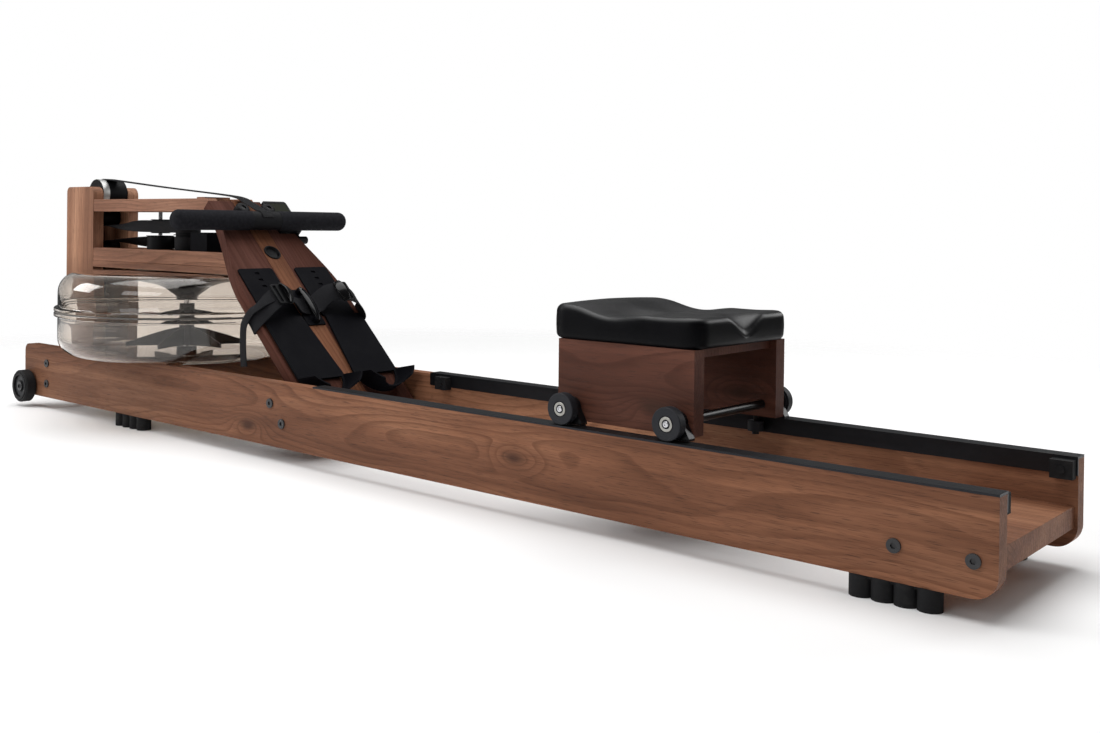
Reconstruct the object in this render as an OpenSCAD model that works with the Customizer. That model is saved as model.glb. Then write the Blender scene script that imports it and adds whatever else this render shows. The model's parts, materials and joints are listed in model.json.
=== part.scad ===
// Wooden water-resistance rowing machine.
// +X runs from the water tank to the seat end, the rower's left is -Y, +Z is up.
// The origin is the middle of the machine's footprint, on the floor.
// Lengths along the frame are measured from the front end of the rails.

/* [Frame] */
// Length of each side rail
rail_len = 2056; // [1900:1:2200]
// Height of each side rail
rail_h = 108; // [100:1:115]
// Thickness of each side rail
rail_t = 23; // [20:0.5:25]
// Width over the outsides of the two rails
frame_w = 293; // [290:1:300]
// Height of the rails' lower edge above the floor
rail_z = 25; // [20:1:30]
// Corner radius of the rails' lower ends
rail_r = 27; // [10:1:35]
// Distance from the front end to where the seat track starts
track_x = 975; // [970:1:990]

/* [Tank] */
// Distance from the front end to the paddle shaft
shaft_x = 392; // [388:1:396]
// Outer radius of the tank's rim
tank_rim_r = 254; // [252:1:256]
// Outer radius of the tank's wall
tank_r = 247; // [245:1:249]
// Height of the tank
tank_h = 166; // [160:1:167]
// Wall thickness of the tank
tank_wall = 4; // [3:0.5:5]
// Height of the rim's joint above the tank's bottom
rim_h = 87; // [84:1:90]

/* [Post and deck] */
// Length of the post along the frame
post_len = 114; // [112:1:116]
// Width over the post's two side boards
post_w = 108; // [106:1:110]
// Height of the top of the post
post_top = 474; // [470:1:477]
// Thickness of the post boards and width of the deck beams
beam_w = 24; // [22:1:25]
// Radius of the pulley at the top of the post
top_pulley_r = 32; // [30:0.5:33]
// Radius of the two guide rollers inside the post
guide_r = 16; // [14:0.5:16]
// Radius of the spool's drums
drum_r = 24; // [22:0.5:26]

/* [Footboard] */
// Slope of the footboard below the horizontal
board_angle = 44; // [43:0.5:45]
// Thickness of the footboard
board_t = 22; // [20:1:23]
// Width of the footboard at its lower end
board_w = 233; // [228:1:235]
// Width of the footboard at its top end
board_top_w = 148; // [146:1:156]
// Travel of a heel plate over its setting slots
heel_travel = 32; // [16:1:32]

/* [Handle] */
// Length of the handle
handle_len = 394; // [380:1:420]
// Outer diameter of the handle's grips
grip_d = 37; // [34:1:38]

/* [Seat] */
// Length of the seat pad, along the frame
pad_len = 238; // [230:1:242]
// Width of the seat pad
pad_w = 238; // [232:1:242]
// Distance from the front end to the seat's front axle at rest
axle_x = 1486; // [1470:1:1500]
// Distance between the seat's two axles
wheelbase = 168; // [164:1:172]
// Radius of a seat wheel
wheel_r = 21.3; // [20.8:0.1:21.5]
// Height of the seat boards' lower edge
seat_z = 140; // [139:1:142]
// Height of the seat boards' upper edge
seat_top = 248; // [246:1:250]

/* [Hidden] */
$fn = 64;
gap = 0.3;           // clearance between curved faces of different bodies
fit = 0.05;          // radial clearance of a running fit
slack = 0.1;         // clearance of a fastener in its hole

half_w = frame_w / 2;
inner = half_w - rail_t;
rail_top = rail_z + rail_h;

// transport wheels
tw_r = 34;
tw_w = 24;
tw_x = 23;
tw_z = 44;

mid_x = (tw_x - tw_r + rail_len) / 2;

// cross members
cross_x = 85;
cross_t = 22;
cross_z0 = 32;
cross_z1 = 120;
spacer_len = 130;
spacer_t = 26;
spacer_z = 51;
block_s0 = 335;
block_s1 = 425;
block_t = 44;
front_bolts = [[96, 54], [96, 97]];
block_bolts = [[864, 97], [896, 66]];
rear_bolts = [[1947, 64], [2031, 64]];
bolt_d = 8;
bolt_head_d = 16;
bolt_len = 52;

// tracks
strip_t = 2.7;
flange_t = 2.5;
flange_h = 22;
track_top = rail_top + strip_t;
stop_len = 26;
stop_w = 14;
stop_z0 = 110;
stop_z1 = 132;
stop_xs = [1001, rail_len - 28];

// feet
foot_d = 27;
foot_pitch = 25.5;
foot_count = 4;
foot_xs = [380, 1906];
foot_y = half_w - rail_t / 2;

// tank
tank_z = rail_top;
tank_top = tank_z + tank_h;
rim_z = tank_z + rim_h;
seal_t = 3;
rim_flange_t = 7.5;
shoulder_r = 40;
skirt_r = 38;
plug_x = 302;
plug_y = 105;
plug_r = 14;
tank_bearing_r = 20;

// post, rollers and straps
post_x0 = 0;
post_x1 = post_x0 + post_len;
post_half = post_w / 2;
post_in = post_half - beam_w;
strap_w = 25;
strap_t = 1.6;
lift = gap + strap_t / 2;        // strap centre line above a roller
top_x = 80;
top_z = 459;
drive_z = 390;                   // height of the drive strap's level run
recoil_z = 356;                  // height of the recoil belt's level run
drive_axle_z = drive_z + guide_r + lift;
recoil_axle_z = recoil_z - guide_r - lift;
down_x = top_x - top_pulley_r - lift;
guide_x = down_x + guide_r + lift;
cord_d = 8;
cord_pulley_r = 9;
cord_lift = cord_d / 2 + gap;
cord_axle_x = down_x + cord_pulley_r + cord_lift;
cord_axle_z = 80;
cord_low_z = cord_axle_z - cord_pulley_r - cord_lift;
cord_end_x = 884;
joiner_z = 236;
axle_d = 8;
post_axles = [[top_x, top_z], [guide_x, drive_axle_z], [guide_x, recoil_axle_z],
              [cord_axle_x, cord_axle_z]];
post_axle_half = post_half - 10;
post_roller_w = 2 * post_in - 3;
guide_rim = 4;
roller_rim_t = 1.5;
idler_x = 291;
drive_idler_r = 18;
recoil_idler_r = 27;

// deck
upper_z0 = 420;
upper_z1 = 446;
lower_z0 = 314;
lower_z1 = 342;
plate_z0 = 301;
deck_end = 555;
idler_z0 = plate_z0 + 3;
idler_z1 = upper_z1 - 6;
bearing_block_z = upper_z0 + 4;
bearing_block_h = 20;
block_bearing_r = 12;
plate_bearing_r = 13;
shaft_d = 12;
spool_z0 = 340;
spool_z1 = 407;
spool_flange = 1.5;

// footboard, in its own frame: s down the slope, y across, h above its face
board_x = 637;
board_z = 378;
board_s0 = -91;
board_s1 = 425;
insert_w = 40;
insert_t = 6;
hole_s = 49;
hole_d = 34;
plate_t = 3;
foot_plate_s0 = 91;
foot_plate_s1 = 215;
foot_plate_y0 = 25;
foot_plate_w = 77;
heel_s0 = 215;
heel_y0 = 27;
heel_y1 = 112;
cup_r = 50;
cup_s = 350;
cup_y = heel_y1 - cup_r;
cup_h = 42;
cup_flare = 10;       // how far the cup's wall leans out at its top
cup_lean = 0.7;       // slope of the cup's two front edges
cup_ledge = 7;        // width of the floor left under the cup's wall
cup_low_r = 34;       // the dip in the cup's rim behind the heel
cup_low_z = 14;
slot_ss = [104:heel_travel / 2:104 + heel_travel];
slot_y = 64.5;
strap_s0 = 180;
strap_s1 = 220;
web_t = 2.2;
buckle_y = 60;
buckle_w = 30;
buckle_h = 34.6;
peg_s = -46.5;
peg_y = 29.5;
peg_r = 14;
peg_h = 27;

// handle, at rest against the two pegs
handle_x = 643.3;
handle_z = 404;
core_d = 22;
sleeve_len = 64;

// monitor, in the footboard's frame
mon_s0 = -90;
mon_s1 = -8;
mon_y0 = 46.5;
mon_w = 58;
mon_t = 20;
mon_top = 3;
button_d = 9;
button_ys = [60, 76];
button_s = -20;

// seat
board_in_y = 92.5;
seat_board_t = 23;
seat_x0 = 1460;
seat_len = 216;
pad_x0 = 1445;
pad_t = 42;
pad_r = 24;
lip_h = 7;            // rise of the pad's front lip above its flat top
lip_r = 110;
lip_in = 12;
lip_len = 46;
wheel_w = 16;
wheel_y = half_w - 2 - wheel_w;
wheel_z = track_top + gap + wheel_r;
bracket_t = wheel_y - board_in_y - seat_board_t;
axle_rod_d = 12;
bearing_d = 19;
roller_xs = [axle_x + 14, axle_x + wheelbase - 18];
roller_r = 11;
roller_h = 14;
roller_z = 116;
roller_y = inner - flange_t - gap - roller_r;

// ---------- helpers ----------

// Moves lengths measured from the rails' front end into the part's frame.
module placed() {
    translate([-mid_x, 0, 0]) children();
}

// Puts a shape drawn in the footboard's own frame (s, y, h) on the slope.
module on_board() {
    translate([board_x, 0, board_z]) rotate([0, board_angle, 0]) children();
}

// Extrudes an outline drawn in (x, z) across the frame from y0 to y1.
module across(y0, y1) {
    translate([0, y1, 0]) rotate([90, 0, 0]) linear_extrude(height = y1 - y0) children();
}

// A round bar along Y.
module bar_y(x, z, y0, y1, d) {
    translate([x, y0, z]) rotate([-90, 0, 0]) cylinder(h = y1 - y0, d = d);
}

// A shape turned about Y from an outline in (radius, height along Y).
module turned_y(x, y, z) {
    translate([x, y, z]) rotate([-90, 0, 0]) rotate_extrude() children();
}

// Copies a shape to both sides of the frame.
module both_sides() {
    children();
    mirror([0, 1, 0]) children();
}

// A rectangle from (0, 0) to (a, b) with round corners.
module round_rect(a, b, r) {
    translate([r, 0]) square([a - 2 * r, b]);
    translate([0, r]) square([a, b - 2 * r]);
    for (x = [r, a - r], y = [r, b - r]) translate([x, y]) circle(r);
}

// What is cut away to round a corner at (0, 0) of an outline in the first quadrant.
module corner(r) {
    difference() {
        translate([-1, -1]) square(r + 1);
        translate([r, r]) circle(r);
    }
}

// A point and its cross direction at each step make a flat band of width w.
function unit(v) = v / norm(v);
function tangent(p, i) = unit(p[min(i + 1, len(p) - 1)] - p[max(i - 1, 0)]);
function band_ring(p, a, i, w, t) =
    let (across_dir = [0, cos(a[i]), sin(a[i])],
         along = tangent(p, i),
         side = unit(across_dir - along * (across_dir * along)),
         up = cross(along, side))
    [p[i] - side * w / 2 - up * t / 2, p[i] + side * w / 2 - up * t / 2,
     p[i] + side * w / 2 + up * t / 2, p[i] - side * w / 2 + up * t / 2];

module band(p, a, w, t) {
    n = len(p);
    points = [for (i = [0:n - 1]) each band_ring(p, a, i, w, t)];
    walls = [for (i = [0:n - 2], k = [0:3])
        let (q = 4 * i + k, r = 4 * i + (k + 1) % 4)
        each [[q, r, r + 4], [q, r + 4, q + 4]]];
    ends = [[3, 2, 1, 0], [4 * n - 4, 4 * n - 3, 4 * n - 2, 4 * n - 1]];
    polyhedron(points, concat(walls, ends));
}

// Points of an arc in the plane y = 0, and in a level plane.
function arc_xz(cx, cz, r, a0, a1, n) =
    [for (i = [0:n]) let (a = a0 + (a1 - a0) * i / n) [cx + r * cos(a), 0, cz + r * sin(a)]];
function arc_xy(cx, z, r, a0, a1, n) =
    [for (i = [0:n]) let (a = a0 + (a1 - a0) * i / n) [cx + r * cos(a), r * sin(a), z]];
function repeat(v, n) = [for (i = [1:n]) v];

// ---------- frame ----------

module rail_outline() {
    difference() {
        translate([0, rail_z]) square([rail_len, rail_h]);
        translate([0, rail_z]) corner(rail_r);
        translate([rail_len, rail_z]) mirror([1, 0]) corner(rail_r);
        translate([0, rail_top]) mirror([0, 1]) corner(15);
    }
}

module bolt_holes() {
    for (p = concat(front_bolts, block_bolts, rear_bolts))
        bar_y(p[0], p[1], -half_w - 1, half_w + 1, bolt_d + 2 * slack);
    bar_y(tw_x, tw_z, -half_w - 1, half_w + 1, 10 + 2 * slack);
}

module rail(side) {
    y0 = side < 0 ? -half_w : inner;
    placed() color("#7b5138") difference() {
        across(y0, y0 + rail_t) rail_outline();
        bolt_holes();
    }
}

module rail_left() { rail(-1); }
module rail_right() { rail(1); }

module rear_spacer() {
    placed() color("#7b5138") difference() {
        translate([rail_len - 4 - spacer_len, -inner, spacer_z])
            cube([spacer_len, 2 * inner, spacer_t]);
        bolt_holes();
    }
}

module front_crossmember() {
    placed() color("#7b5138") difference() {
        translate([cross_x, -inner, cross_z0]) cube([cross_t, 2 * inner, cross_z1 - cross_z0]);
        bolt_holes();
        translate([cross_x - 1, 0, cord_low_z]) rotate([0, 90, 0]) cylinder(h = cross_t + 2, d = 16);
    }
}

module footboard_block() {
    placed() color("#7b5138") difference() {
        on_board() translate([block_s0, -inner, -board_t - block_t])
            cube([block_s1 - block_s0, 2 * inner, block_t]);
        bolt_holes();
        // the blind hole that the stretch cord's knot is held in
        translate([cord_end_x - 60, 0, cord_low_z]) rotate([0, 90, 0])
            cylinder(h = 60, d = cord_d + 2 * slack);
    }
}

module frame_bolts() {
    placed() color("#2b2a2a") both_sides() {
        for (p = concat(front_bolts, block_bolts, rear_bolts)) difference() {
            union() {
                bar_y(p[0], p[1], half_w - bolt_len, half_w + 1, bolt_d);
                bar_y(p[0], p[1], half_w, half_w + 2.4, bolt_head_d);
            }
            translate([p[0], half_w + 0.4, p[1]]) rotate([-90, 0, 0]) cylinder(h = 5, d = 7, $fn = 6);
        }
        // the transport wheels' axle bolts
        difference() {
            union() {
                bar_y(tw_x, tw_z, inner + 2, half_w + 1.5 + tw_w, 10);
                bar_y(tw_x, tw_z, half_w + 1.5 + tw_w - 5.8, half_w + 1.5 + tw_w - 1, 20);
            }
            translate([tw_x, half_w + tw_w - 2, tw_z]) rotate([-90, 0, 0])
                cylinder(h = 6, d = 9, $fn = 6);
        }
    }
}

module feet() {
    placed() color("#1c1c1e") both_sides() for (x0 = foot_xs) {
        for (i = [0:foot_count - 1])
            translate([x0 + i * foot_pitch, foot_y, 0]) cylinder(h = rail_z, d = foot_d);
        translate([x0, foot_y - 8, rail_z - 4]) cube([(foot_count - 1) * foot_pitch, 16, 4]);
    }
}

module transport_wheel() {
    rim = tw_r - 7;
    placed() color("#1d1e20") turned_y(tw_x, half_w + 1.5, tw_z) difference() {
        union() {
            translate([5 + fit, 0]) square([rim - 4, tw_w]);
            translate([rim, 3]) square([tw_r - rim, tw_w - 6]);
            translate([rim + 2, 1]) square([tw_r - rim - 4, tw_w - 2]);
        }
        translate([0, tw_w - 6]) square([rim - 4, 10]);
        translate([14, -1]) square([rim - 18, 5]);
    }
}

module transport_wheel_right() { transport_wheel(); }
module transport_wheel_left() { mirror([0, 1, 0]) transport_wheel(); }

// ---------- seat track ----------

module tracks() {
    placed() color("#2a2a2d") both_sides() translate([track_x, 0, 0]) rotate([90, 0, 90])
        linear_extrude(height = rail_len - track_x) {
            translate([inner - flange_t, rail_top]) square([rail_t + flange_t, strip_t]);
            translate([inner - flange_t, track_top - flange_h]) square([flange_t, flange_h]);
        }
}

module track_stops() {
    stop_y = inner - flange_t - stop_w;
    placed() both_sides() for (x = stop_xs) {
        color("#18181a") difference() {
            translate([x, stop_y, stop_z0]) cube([stop_len, stop_w, stop_z1 - stop_z0]);
            bar_y(x + stop_len / 2, 121, stop_y - 1, inner, 5);
        }
        color("#55565a") bar_y(x + stop_len / 2, 121, stop_y - 2.5, stop_y, 9);
        color("#55565a") bar_y(x + stop_len / 2, 121, stop_y - 1, stop_y + stop_w, 5 - 2 * slack);
    }
}

// ---------- post, rollers and deck ----------

module post_boards() {
    placed() color("#835740") difference() {
        union() {
            both_sides() across(post_in, post_half) difference() {
                translate([post_x0, 40]) square([post_len, post_top - 40]);
                translate([post_x0, post_top]) mirror([0, 1]) corner(12);
                translate([post_x1, post_top]) mirror([1, 0]) mirror([0, 1]) corner(18);
                translate([cross_x, 0]) square([100, cross_z1]);
            }
            // the web board that closes the front of the post
            translate([post_x0, -post_in, 130]) cube([16, 2 * post_in, 290]);
        }
        for (p = post_axles)
            bar_y(p[0], p[1], -post_axle_half, post_axle_half, axle_d + 2 * slack);
    }
}

module roller_axles() {
    placed() color("#9a9a9c") {
        for (p = post_axles) bar_y(p[0], p[1], -post_axle_half, post_axle_half, axle_d);
        // the upright shaft of the two idlers
        translate([idler_x, 0, idler_z0]) cylinder(h = idler_z1 - idler_z0, d = axle_d);
    }
}

// Everything above the back of the footboard.
module above_board_back() {
    on_board() translate([-600, -200, -board_t]) cube([1300, 400, 500]);
}

module deck_beams() {
    placed() color("#8a5d45") difference() {
        both_sides() {
            translate([post_x1, post_in, upper_z0])
                cube([deck_end - post_x1, beam_w, upper_z1 - upper_z0]);
            translate([post_x1, post_in, lower_z0])
                cube([600, beam_w, lower_z1 - lower_z0]);
        }
        above_board_back();
    }
}

module deck_plate() {
    placed() color("#8a5d45") difference() {
        translate([post_x1, -post_half, plate_z0]) cube([600, post_w, lower_z0 - plate_z0]);
        above_board_back();
        translate([shaft_x, 0, plate_z0 - 1]) cylinder(h = 40, r = plate_bearing_r + slack);
        translate([idler_x, 0, idler_z0]) cylinder(h = 40, d = axle_d + 2 * slack);
    }
}

module deck_spacers() {
    placed() color("#8a5d45") {
        translate([468, -post_in, upper_z0]) cube([26, 2 * post_in, upper_z1 - upper_z0 + 3.5]);
        difference() {
            translate([275, -post_in, bearing_block_z]) cube([142, 2 * post_in, bearing_block_h]);
            translate([shaft_x, 0, upper_z0]) cylinder(h = 40, r = block_bearing_r + slack);
            translate([idler_x, 0, upper_z0])
                cylinder(h = idler_z1 - upper_z0 + slack, d = axle_d + 2 * slack);
        }
    }
}

module sensor_box() {
    placed() color("#222326") difference() {
        translate([444, -28, lower_z0]) cube([57, 56, 65]);
        translate([443, -16, lower_z0 + 50]) cube([6, 32, 6]);
        translate([500, -10, lower_z0 + 8]) cube([3, 20, 12]);
    }
}

// ---------- tank ----------

// Half section of a solid tank end: flat top, rounded edge and straight wall.
module shell_half(h, edge_r, wall, below = 0) {
    translate([0, -below]) {
        square([tank_r - wall, h - edge_r + below]);
        square([tank_r - edge_r, h - wall + below]);
    }
    intersection() {
        translate([tank_r - edge_r, h - edge_r]) circle(edge_r - wall);
        square([tank_r, h]);
    }
}

module shell_section(h, edge_r) {
    difference() {
        union() {
            shell_half(h, edge_r, 0);
            square([tank_rim_r, rim_flange_t]);
        }
        shell_half(h, edge_r, tank_wall, 1);
    }
}

module tank_lower() {
    placed() color("#8f8a84", 0.45) translate([shaft_x, 0, rim_z]) mirror([0, 0, 1])
        rotate_extrude($fn = 128) shell_section(rim_h, skirt_r);
}

// The splash cone that hangs from the middle of the tank's top.
module cone_section(top) {
    polygon([[104, top], [40, top - 24], [19, top - 48], [19, top - 56], [16, top - 56],
             [16, top - 46], [37, top - 21], [96, top]]);
}

module tank_upper() {
    h = tank_h - rim_h - seal_t;
    placed() color("#8f8a84", 0.45) difference() {
        translate([shaft_x, 0, rim_z + seal_t]) {
            rotate_extrude($fn = 128) shell_section(h, shoulder_r);
            rotate_extrude($fn = 128) cone_section(h - tank_wall / 2);
        }
        translate([shaft_x, 0, tank_top - 10]) cylinder(h = 20, r = tank_bearing_r + slack);
        translate([plug_x, plug_y, tank_top - 10]) cylinder(h = 20, r = plug_r + slack);
    }
}

module tank_seal() {
    placed() color("#3a3a3c") translate([shaft_x, 0, rim_z]) rotate_extrude($fn = 128)
        translate([tank_r - tank_wall, 0]) square([tank_rim_r - tank_r + tank_wall - 1.5, seal_t]);
}

module tank_plug() {
    placed() color("#1a1a1c") translate([plug_x, plug_y, tank_top]) {
        translate([0, 0, -8]) cylinder(h = 8, r = plug_r);
        cylinder(h = 4, r = plug_r + 4);
        translate([0, 0, 4]) cylinder(h = 1.5, r = plug_r);
    }
}

module bearing(z, h, r) {
    translate([shaft_x, 0, z]) difference() {
        cylinder(h = h, r = r);
        translate([0, 0, -1]) cylinder(h = h + 2, d = shaft_d + 2 * fit);
    }
}

module shaft_bearings() {
    placed() color("#4a4a4d") {
        bearing(tank_z + tank_wall, 10, tank_bearing_r);
        bearing(tank_top - 7, 7, tank_bearing_r);
        bearing(plate_z0, lower_z0 - plate_z0, plate_bearing_r);
        bearing(bearing_block_z, bearing_block_h, block_bearing_r);
    }
}

module paddle_shaft() {
    z0 = tank_z + tank_wall + 1;
    placed() color("#c9c9cc") translate([shaft_x, 0, z0]) cylinder(h = upper_z1 - 4 - z0, d = shaft_d);
}

module paddle() {
    z0 = tank_z + 18;
    placed() color("#55565a") translate([shaft_x, 0, z0]) difference() {
        union() {
            cylinder(h = 76, r = 15);
            for (a = [0:60:300]) rotate([0, 0, a]) across(-1.5, 1.5)
                polygon([[10, 0], [118, 0], [118, 9], [82, 28], [42, 47], [10, 56]]);
        }
        translate([0, 0, -1]) cylinder(h = 80, d = shaft_d);
    }
}

// ---------- rollers, spool and straps ----------

// Half section of a flanged roller with its bore.
module roller_section(r, w, rim, rim_t) {
    bore_r = axle_d / 2 + fit;
    translate([bore_r, 0]) square([r - bore_r, w]);
    for (z = [0, w - rim_t]) translate([bore_r, z]) square([r + rim - bore_r, rim_t]);
}

module top_pulley() {
    placed() color("#b9b9b9") turned_y(top_x, -post_roller_w / 2, top_z)
        roller_section(top_pulley_r, post_roller_w, 0, roller_rim_t);
}

module guide_roller_in_post(z) {
    placed() color("#232326") turned_y(guide_x, -post_roller_w / 2, z)
        roller_section(guide_r, post_roller_w, guide_rim, roller_rim_t);
}

module drive_guide_roller() { guide_roller_in_post(drive_axle_z); }
module recoil_guide_roller() { guide_roller_in_post(recoil_axle_z); }

module cord_pulley() {
    w = 14;
    placed() color("#232326") turned_y(cord_axle_x, -w / 2, cord_axle_z) difference() {
        translate([axle_d / 2 + fit, 0]) square([cord_pulley_r + 3.5 - axle_d / 2 - fit, w]);
        translate([cord_pulley_r + cord_lift, w / 2]) circle(cord_d / 2 + gap);
    }
}

module idler(z, r) {
    w = strap_w + 4;
    placed() color("#232326") translate([idler_x, 0, z - w / 2]) rotate_extrude()
        roller_section(r, w, 2, 1);
}

module drive_idler() { idler(drive_z, drive_idler_r); }
module recoil_idler() { idler(recoil_z, recoil_idler_r); }

module drive_spool() {
    placed() color("#202124") translate([shaft_x, 0, spool_z0]) rotate_extrude() {
        h = spool_z1 - spool_z0;
        translate([shaft_d / 2 + fit, 0]) square([drum_r - shaft_d / 2 - fit, h]);
        for (z = [0, (h - spool_flange) / 2, h - spool_flange])
            translate([shaft_d / 2 + fit, z]) square([drum_r + 4 - shaft_d / 2 - fit, spool_flange]);
    }
}

// The strap from the handle: over the footboard's top edge, round the top pulley, down the
// post, under its guide roller, then a quarter twist and round the spool.
twist_steps = 14;
function level_run(y, z) = [for (i = [1:twist_steps])
    let (f = i / twist_steps) [guide_x + 8 + (idler_x - guide_x - 8) * f, y * f * f * (3 - 2 * f), z]];
function twist_angles(turn) = [for (i = [1:twist_steps])
    let (f = i / twist_steps) turn * f * f * (3 - 2 * f)];

drive_handle_run = [[629, 0, 418], [612, 0, 430], [596, 0, 439], [580, 0, 445], [562, 0, 448.5]];

module drive_strap() {
    from_handle = concat(drive_handle_run, arc_xz(top_x, top_z, top_pulley_r + lift, 85, 180, 14),
                         arc_xz(guide_x, drive_axle_z, guide_r + lift, 180, 270, 10));
    spool_arc = arc_xy(shaft_x, drive_z, drum_r + lift, -90, 150, 24);
    route = concat(from_handle, level_run(-drive_idler_r - lift, drive_z), spool_arc);
    turns = concat(repeat(0, len(from_handle)), twist_angles(90), repeat(90, len(spool_arc)));
    placed() color("#1b1b1d") band(route, turns, strap_w, strap_t);
}

module recoil_belt() {
    up_post = concat([[down_x, 0, joiner_z]],
                     arc_xz(guide_x, recoil_axle_z, guide_r + lift, 180, 90, 10));
    spool_arc = arc_xy(shaft_x, recoil_z, drum_r + lift, 90, -150, 24);
    route = concat(up_post, level_run(recoil_idler_r + lift, recoil_z), spool_arc);
    turns = concat(repeat(0, len(up_post)), twist_angles(-90), repeat(-90, len(spool_arc)));
    placed() color("#1b1b1d") band(route, turns, strap_w, strap_t);
}

// The stretch cord that pulls the belt back: down the post, round its pulley and under the tank.
module recoil_cord() {
    placed() color("#26262a") {
        translate([down_x - 8, -15, joiner_z - 14]) cube([16, 30, 14]);
        translate([down_x, 0, cord_axle_z]) cylinder(h = joiner_z - 14 - cord_axle_z, d = cord_d);
        translate([cord_axle_x, 0, cord_axle_z]) rotate([-90, 0, 0]) rotate([0, 0, 90])
            rotate_extrude(angle = 90) translate([cord_pulley_r + cord_lift, 0]) circle(d = cord_d);
        translate([cord_axle_x, 0, cord_low_z]) rotate([0, 90, 0])
            cylinder(h = cord_end_x - cord_axle_x, d = cord_d);
    }
}

// ---------- footboard ----------

function smooth(t) = let (u = max(0, min(1, t))) u * u * (3 - 2 * u);
function board_half(s) = (board_top_w + (board_w - board_top_w) * smooth((s + 65) / 220)) / 2;
board_steps = [for (s = [board_s0:18:160]) s];

module footboard() {
    side = [for (s = board_steps) [s, board_half(s)]];
    far_side = [for (i = [len(side) - 1:-1:0]) [side[i][0], -side[i][1]]];
    outline = concat(side, [[board_s1, board_w / 2], [board_s1, -board_w / 2]], far_side);
    placed() color("#7e523b") on_board() difference() {
        translate([0, 0, -board_t]) linear_extrude(height = board_t) polygon(outline);
        translate([board_s0 - 1, -insert_w / 2, -insert_t])
            cube([board_s1 - board_s0 + 2, insert_w, insert_t + 1]);
        translate([board_s0 - 5, mon_y0 - 1, -board_t - 1])
            cube([mon_s1 + 5 - board_s0 + 5, 100, board_t + 2]);
        translate([hole_s, 0, -board_t - 1]) cylinder(h = board_t + 2, d = hole_d);
    }
}

module footboard_insert() {
    placed() color("#b58a63") on_board() difference() {
        translate([board_s0, -insert_w / 2, -insert_t]) cube([board_s1 - board_s0, insert_w, insert_t]);
        translate([hole_s, 0, -board_t - 1]) cylinder(h = board_t + 2, d = hole_d);
    }
}

module foot_plates() {
    placed() color("#26272a") on_board() both_sides() linear_extrude(height = plate_t) difference() {
        translate([foot_plate_s0, foot_plate_y0])
            round_rect(foot_plate_s1 - foot_plate_s0, foot_plate_w, 6);
        for (s = slot_ss) translate([s - 2.5, slot_y - 4.5]) square([5, 9]);
    }
}

// The plate widens towards its heel cup, whose floor is open.
module heel_outline() {
    difference() {
        union() {
            polygon([[heel_s0, heel_y0], [cup_s, cup_y - cup_r],
                     [cup_s, cup_y + cup_r], [heel_s0, heel_y1]]);
            translate([cup_s, cup_y]) circle(cup_r);
        }
        intersection() {
            translate([cup_s, cup_y]) circle(cup_r - cup_ledge);
            translate([cup_s + cup_ledge, cup_y - cup_r]) square(2 * cup_r);
        }
    }
}

// A cone centred on the heel cup, flaring by cup_flare over the wall's height.
module cup_cone(z0, h, r) {
    flare = cup_flare / cup_h;
    translate([cup_s, cup_y, z0]) cylinder(h = h, r1 = r + z0 * flare, r2 = r + (z0 + h) * flare);
}

module heel_plate() {
    top = cup_h + 1;
    placed() color("#26272a") on_board() {
        translate([0, 0, plate_t + gap]) {
            linear_extrude(height = plate_t) heel_outline();
            difference() {
                cup_cone(0, cup_h, cup_r);
                cup_cone(-1, cup_h + 2, cup_r - plate_t);
                // the wall's front edges lean back
                across(-board_w, board_w)
                    polygon([[cup_s - 2 * cup_r, -1], [cup_s, -1],
                             [cup_s + cup_lean * top, top], [cup_s - 2 * cup_r, top]]);
                // the rim dips behind the heel
                translate([cup_s, cup_y, cup_h + cup_low_z]) rotate([0, 90, 0])
                    cylinder(h = 2 * cup_r, r = cup_low_r);
            }
        }
    }
}

module heel_plate_right() { heel_plate(); }
module heel_plate_left() { mirror([0, 1, 0]) heel_plate(); }

// The middle plate with its loop, and the round cap in the footboard's finger hole.
module strap_anchor() {
    placed() color("#17171a") on_board() {
        translate([147, -20.5, 0]) cube([87, 41, plate_t]);
        translate([150, -9, 12]) linear_extrude(height = 8) round_rect(82, 18, 8.9);
        for (s = [151, 223]) translate([s, -6, plate_t]) cube([8, 12, 12 - plate_t]);
        translate([hole_s, 0, -insert_t]) cylinder(h = insert_t - 1, d = hole_d - 0.2);
        translate([hole_s, 0, -1]) rotate_extrude() translate([hole_d / 2 - 3, 0]) square([2.9, 2.2]);
    }
}

// Centre line of a foot strap in (y, h), from under the loop over the foot to the board's back.
strap_line = [[3, 6], [20, 7], [30, 12], [42, 24], [56, 31], [75, 33], [94, 30], [108, 22],
              [116, 12], [118.8, 0], [118.8, -24], [98, -24]];
function path_tangent(p, i) = unit(p[min(i + 1, len(p) - 1)] - p[max(i - 1, 0)]);
function shifted(p, i, d) = let (v = path_tangent(p, i)) p[i] + d * [-v[1], v[0]];

module strap_section() {
    n = len(strap_line) - 1;
    polygon(concat([for (i = [0:n]) shifted(strap_line, i, web_t / 2)],
                   [for (i = [n:-1:0]) shifted(strap_line, i, -web_t / 2)]));
}

module foot_straps() {
    placed() color("#1e1e21") {
        on_board() both_sides() translate([strap_s0, 0, 0]) rotate([90, 0, 90])
            linear_extrude(height = strap_s1 - strap_s0) strap_section();
        // the loose end of the left strap
        translate([748, -129, 146]) cube([30, web_t, 88]);
        translate([756, -129, 232]) cube([20, 10, web_t]);
    }
}

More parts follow.
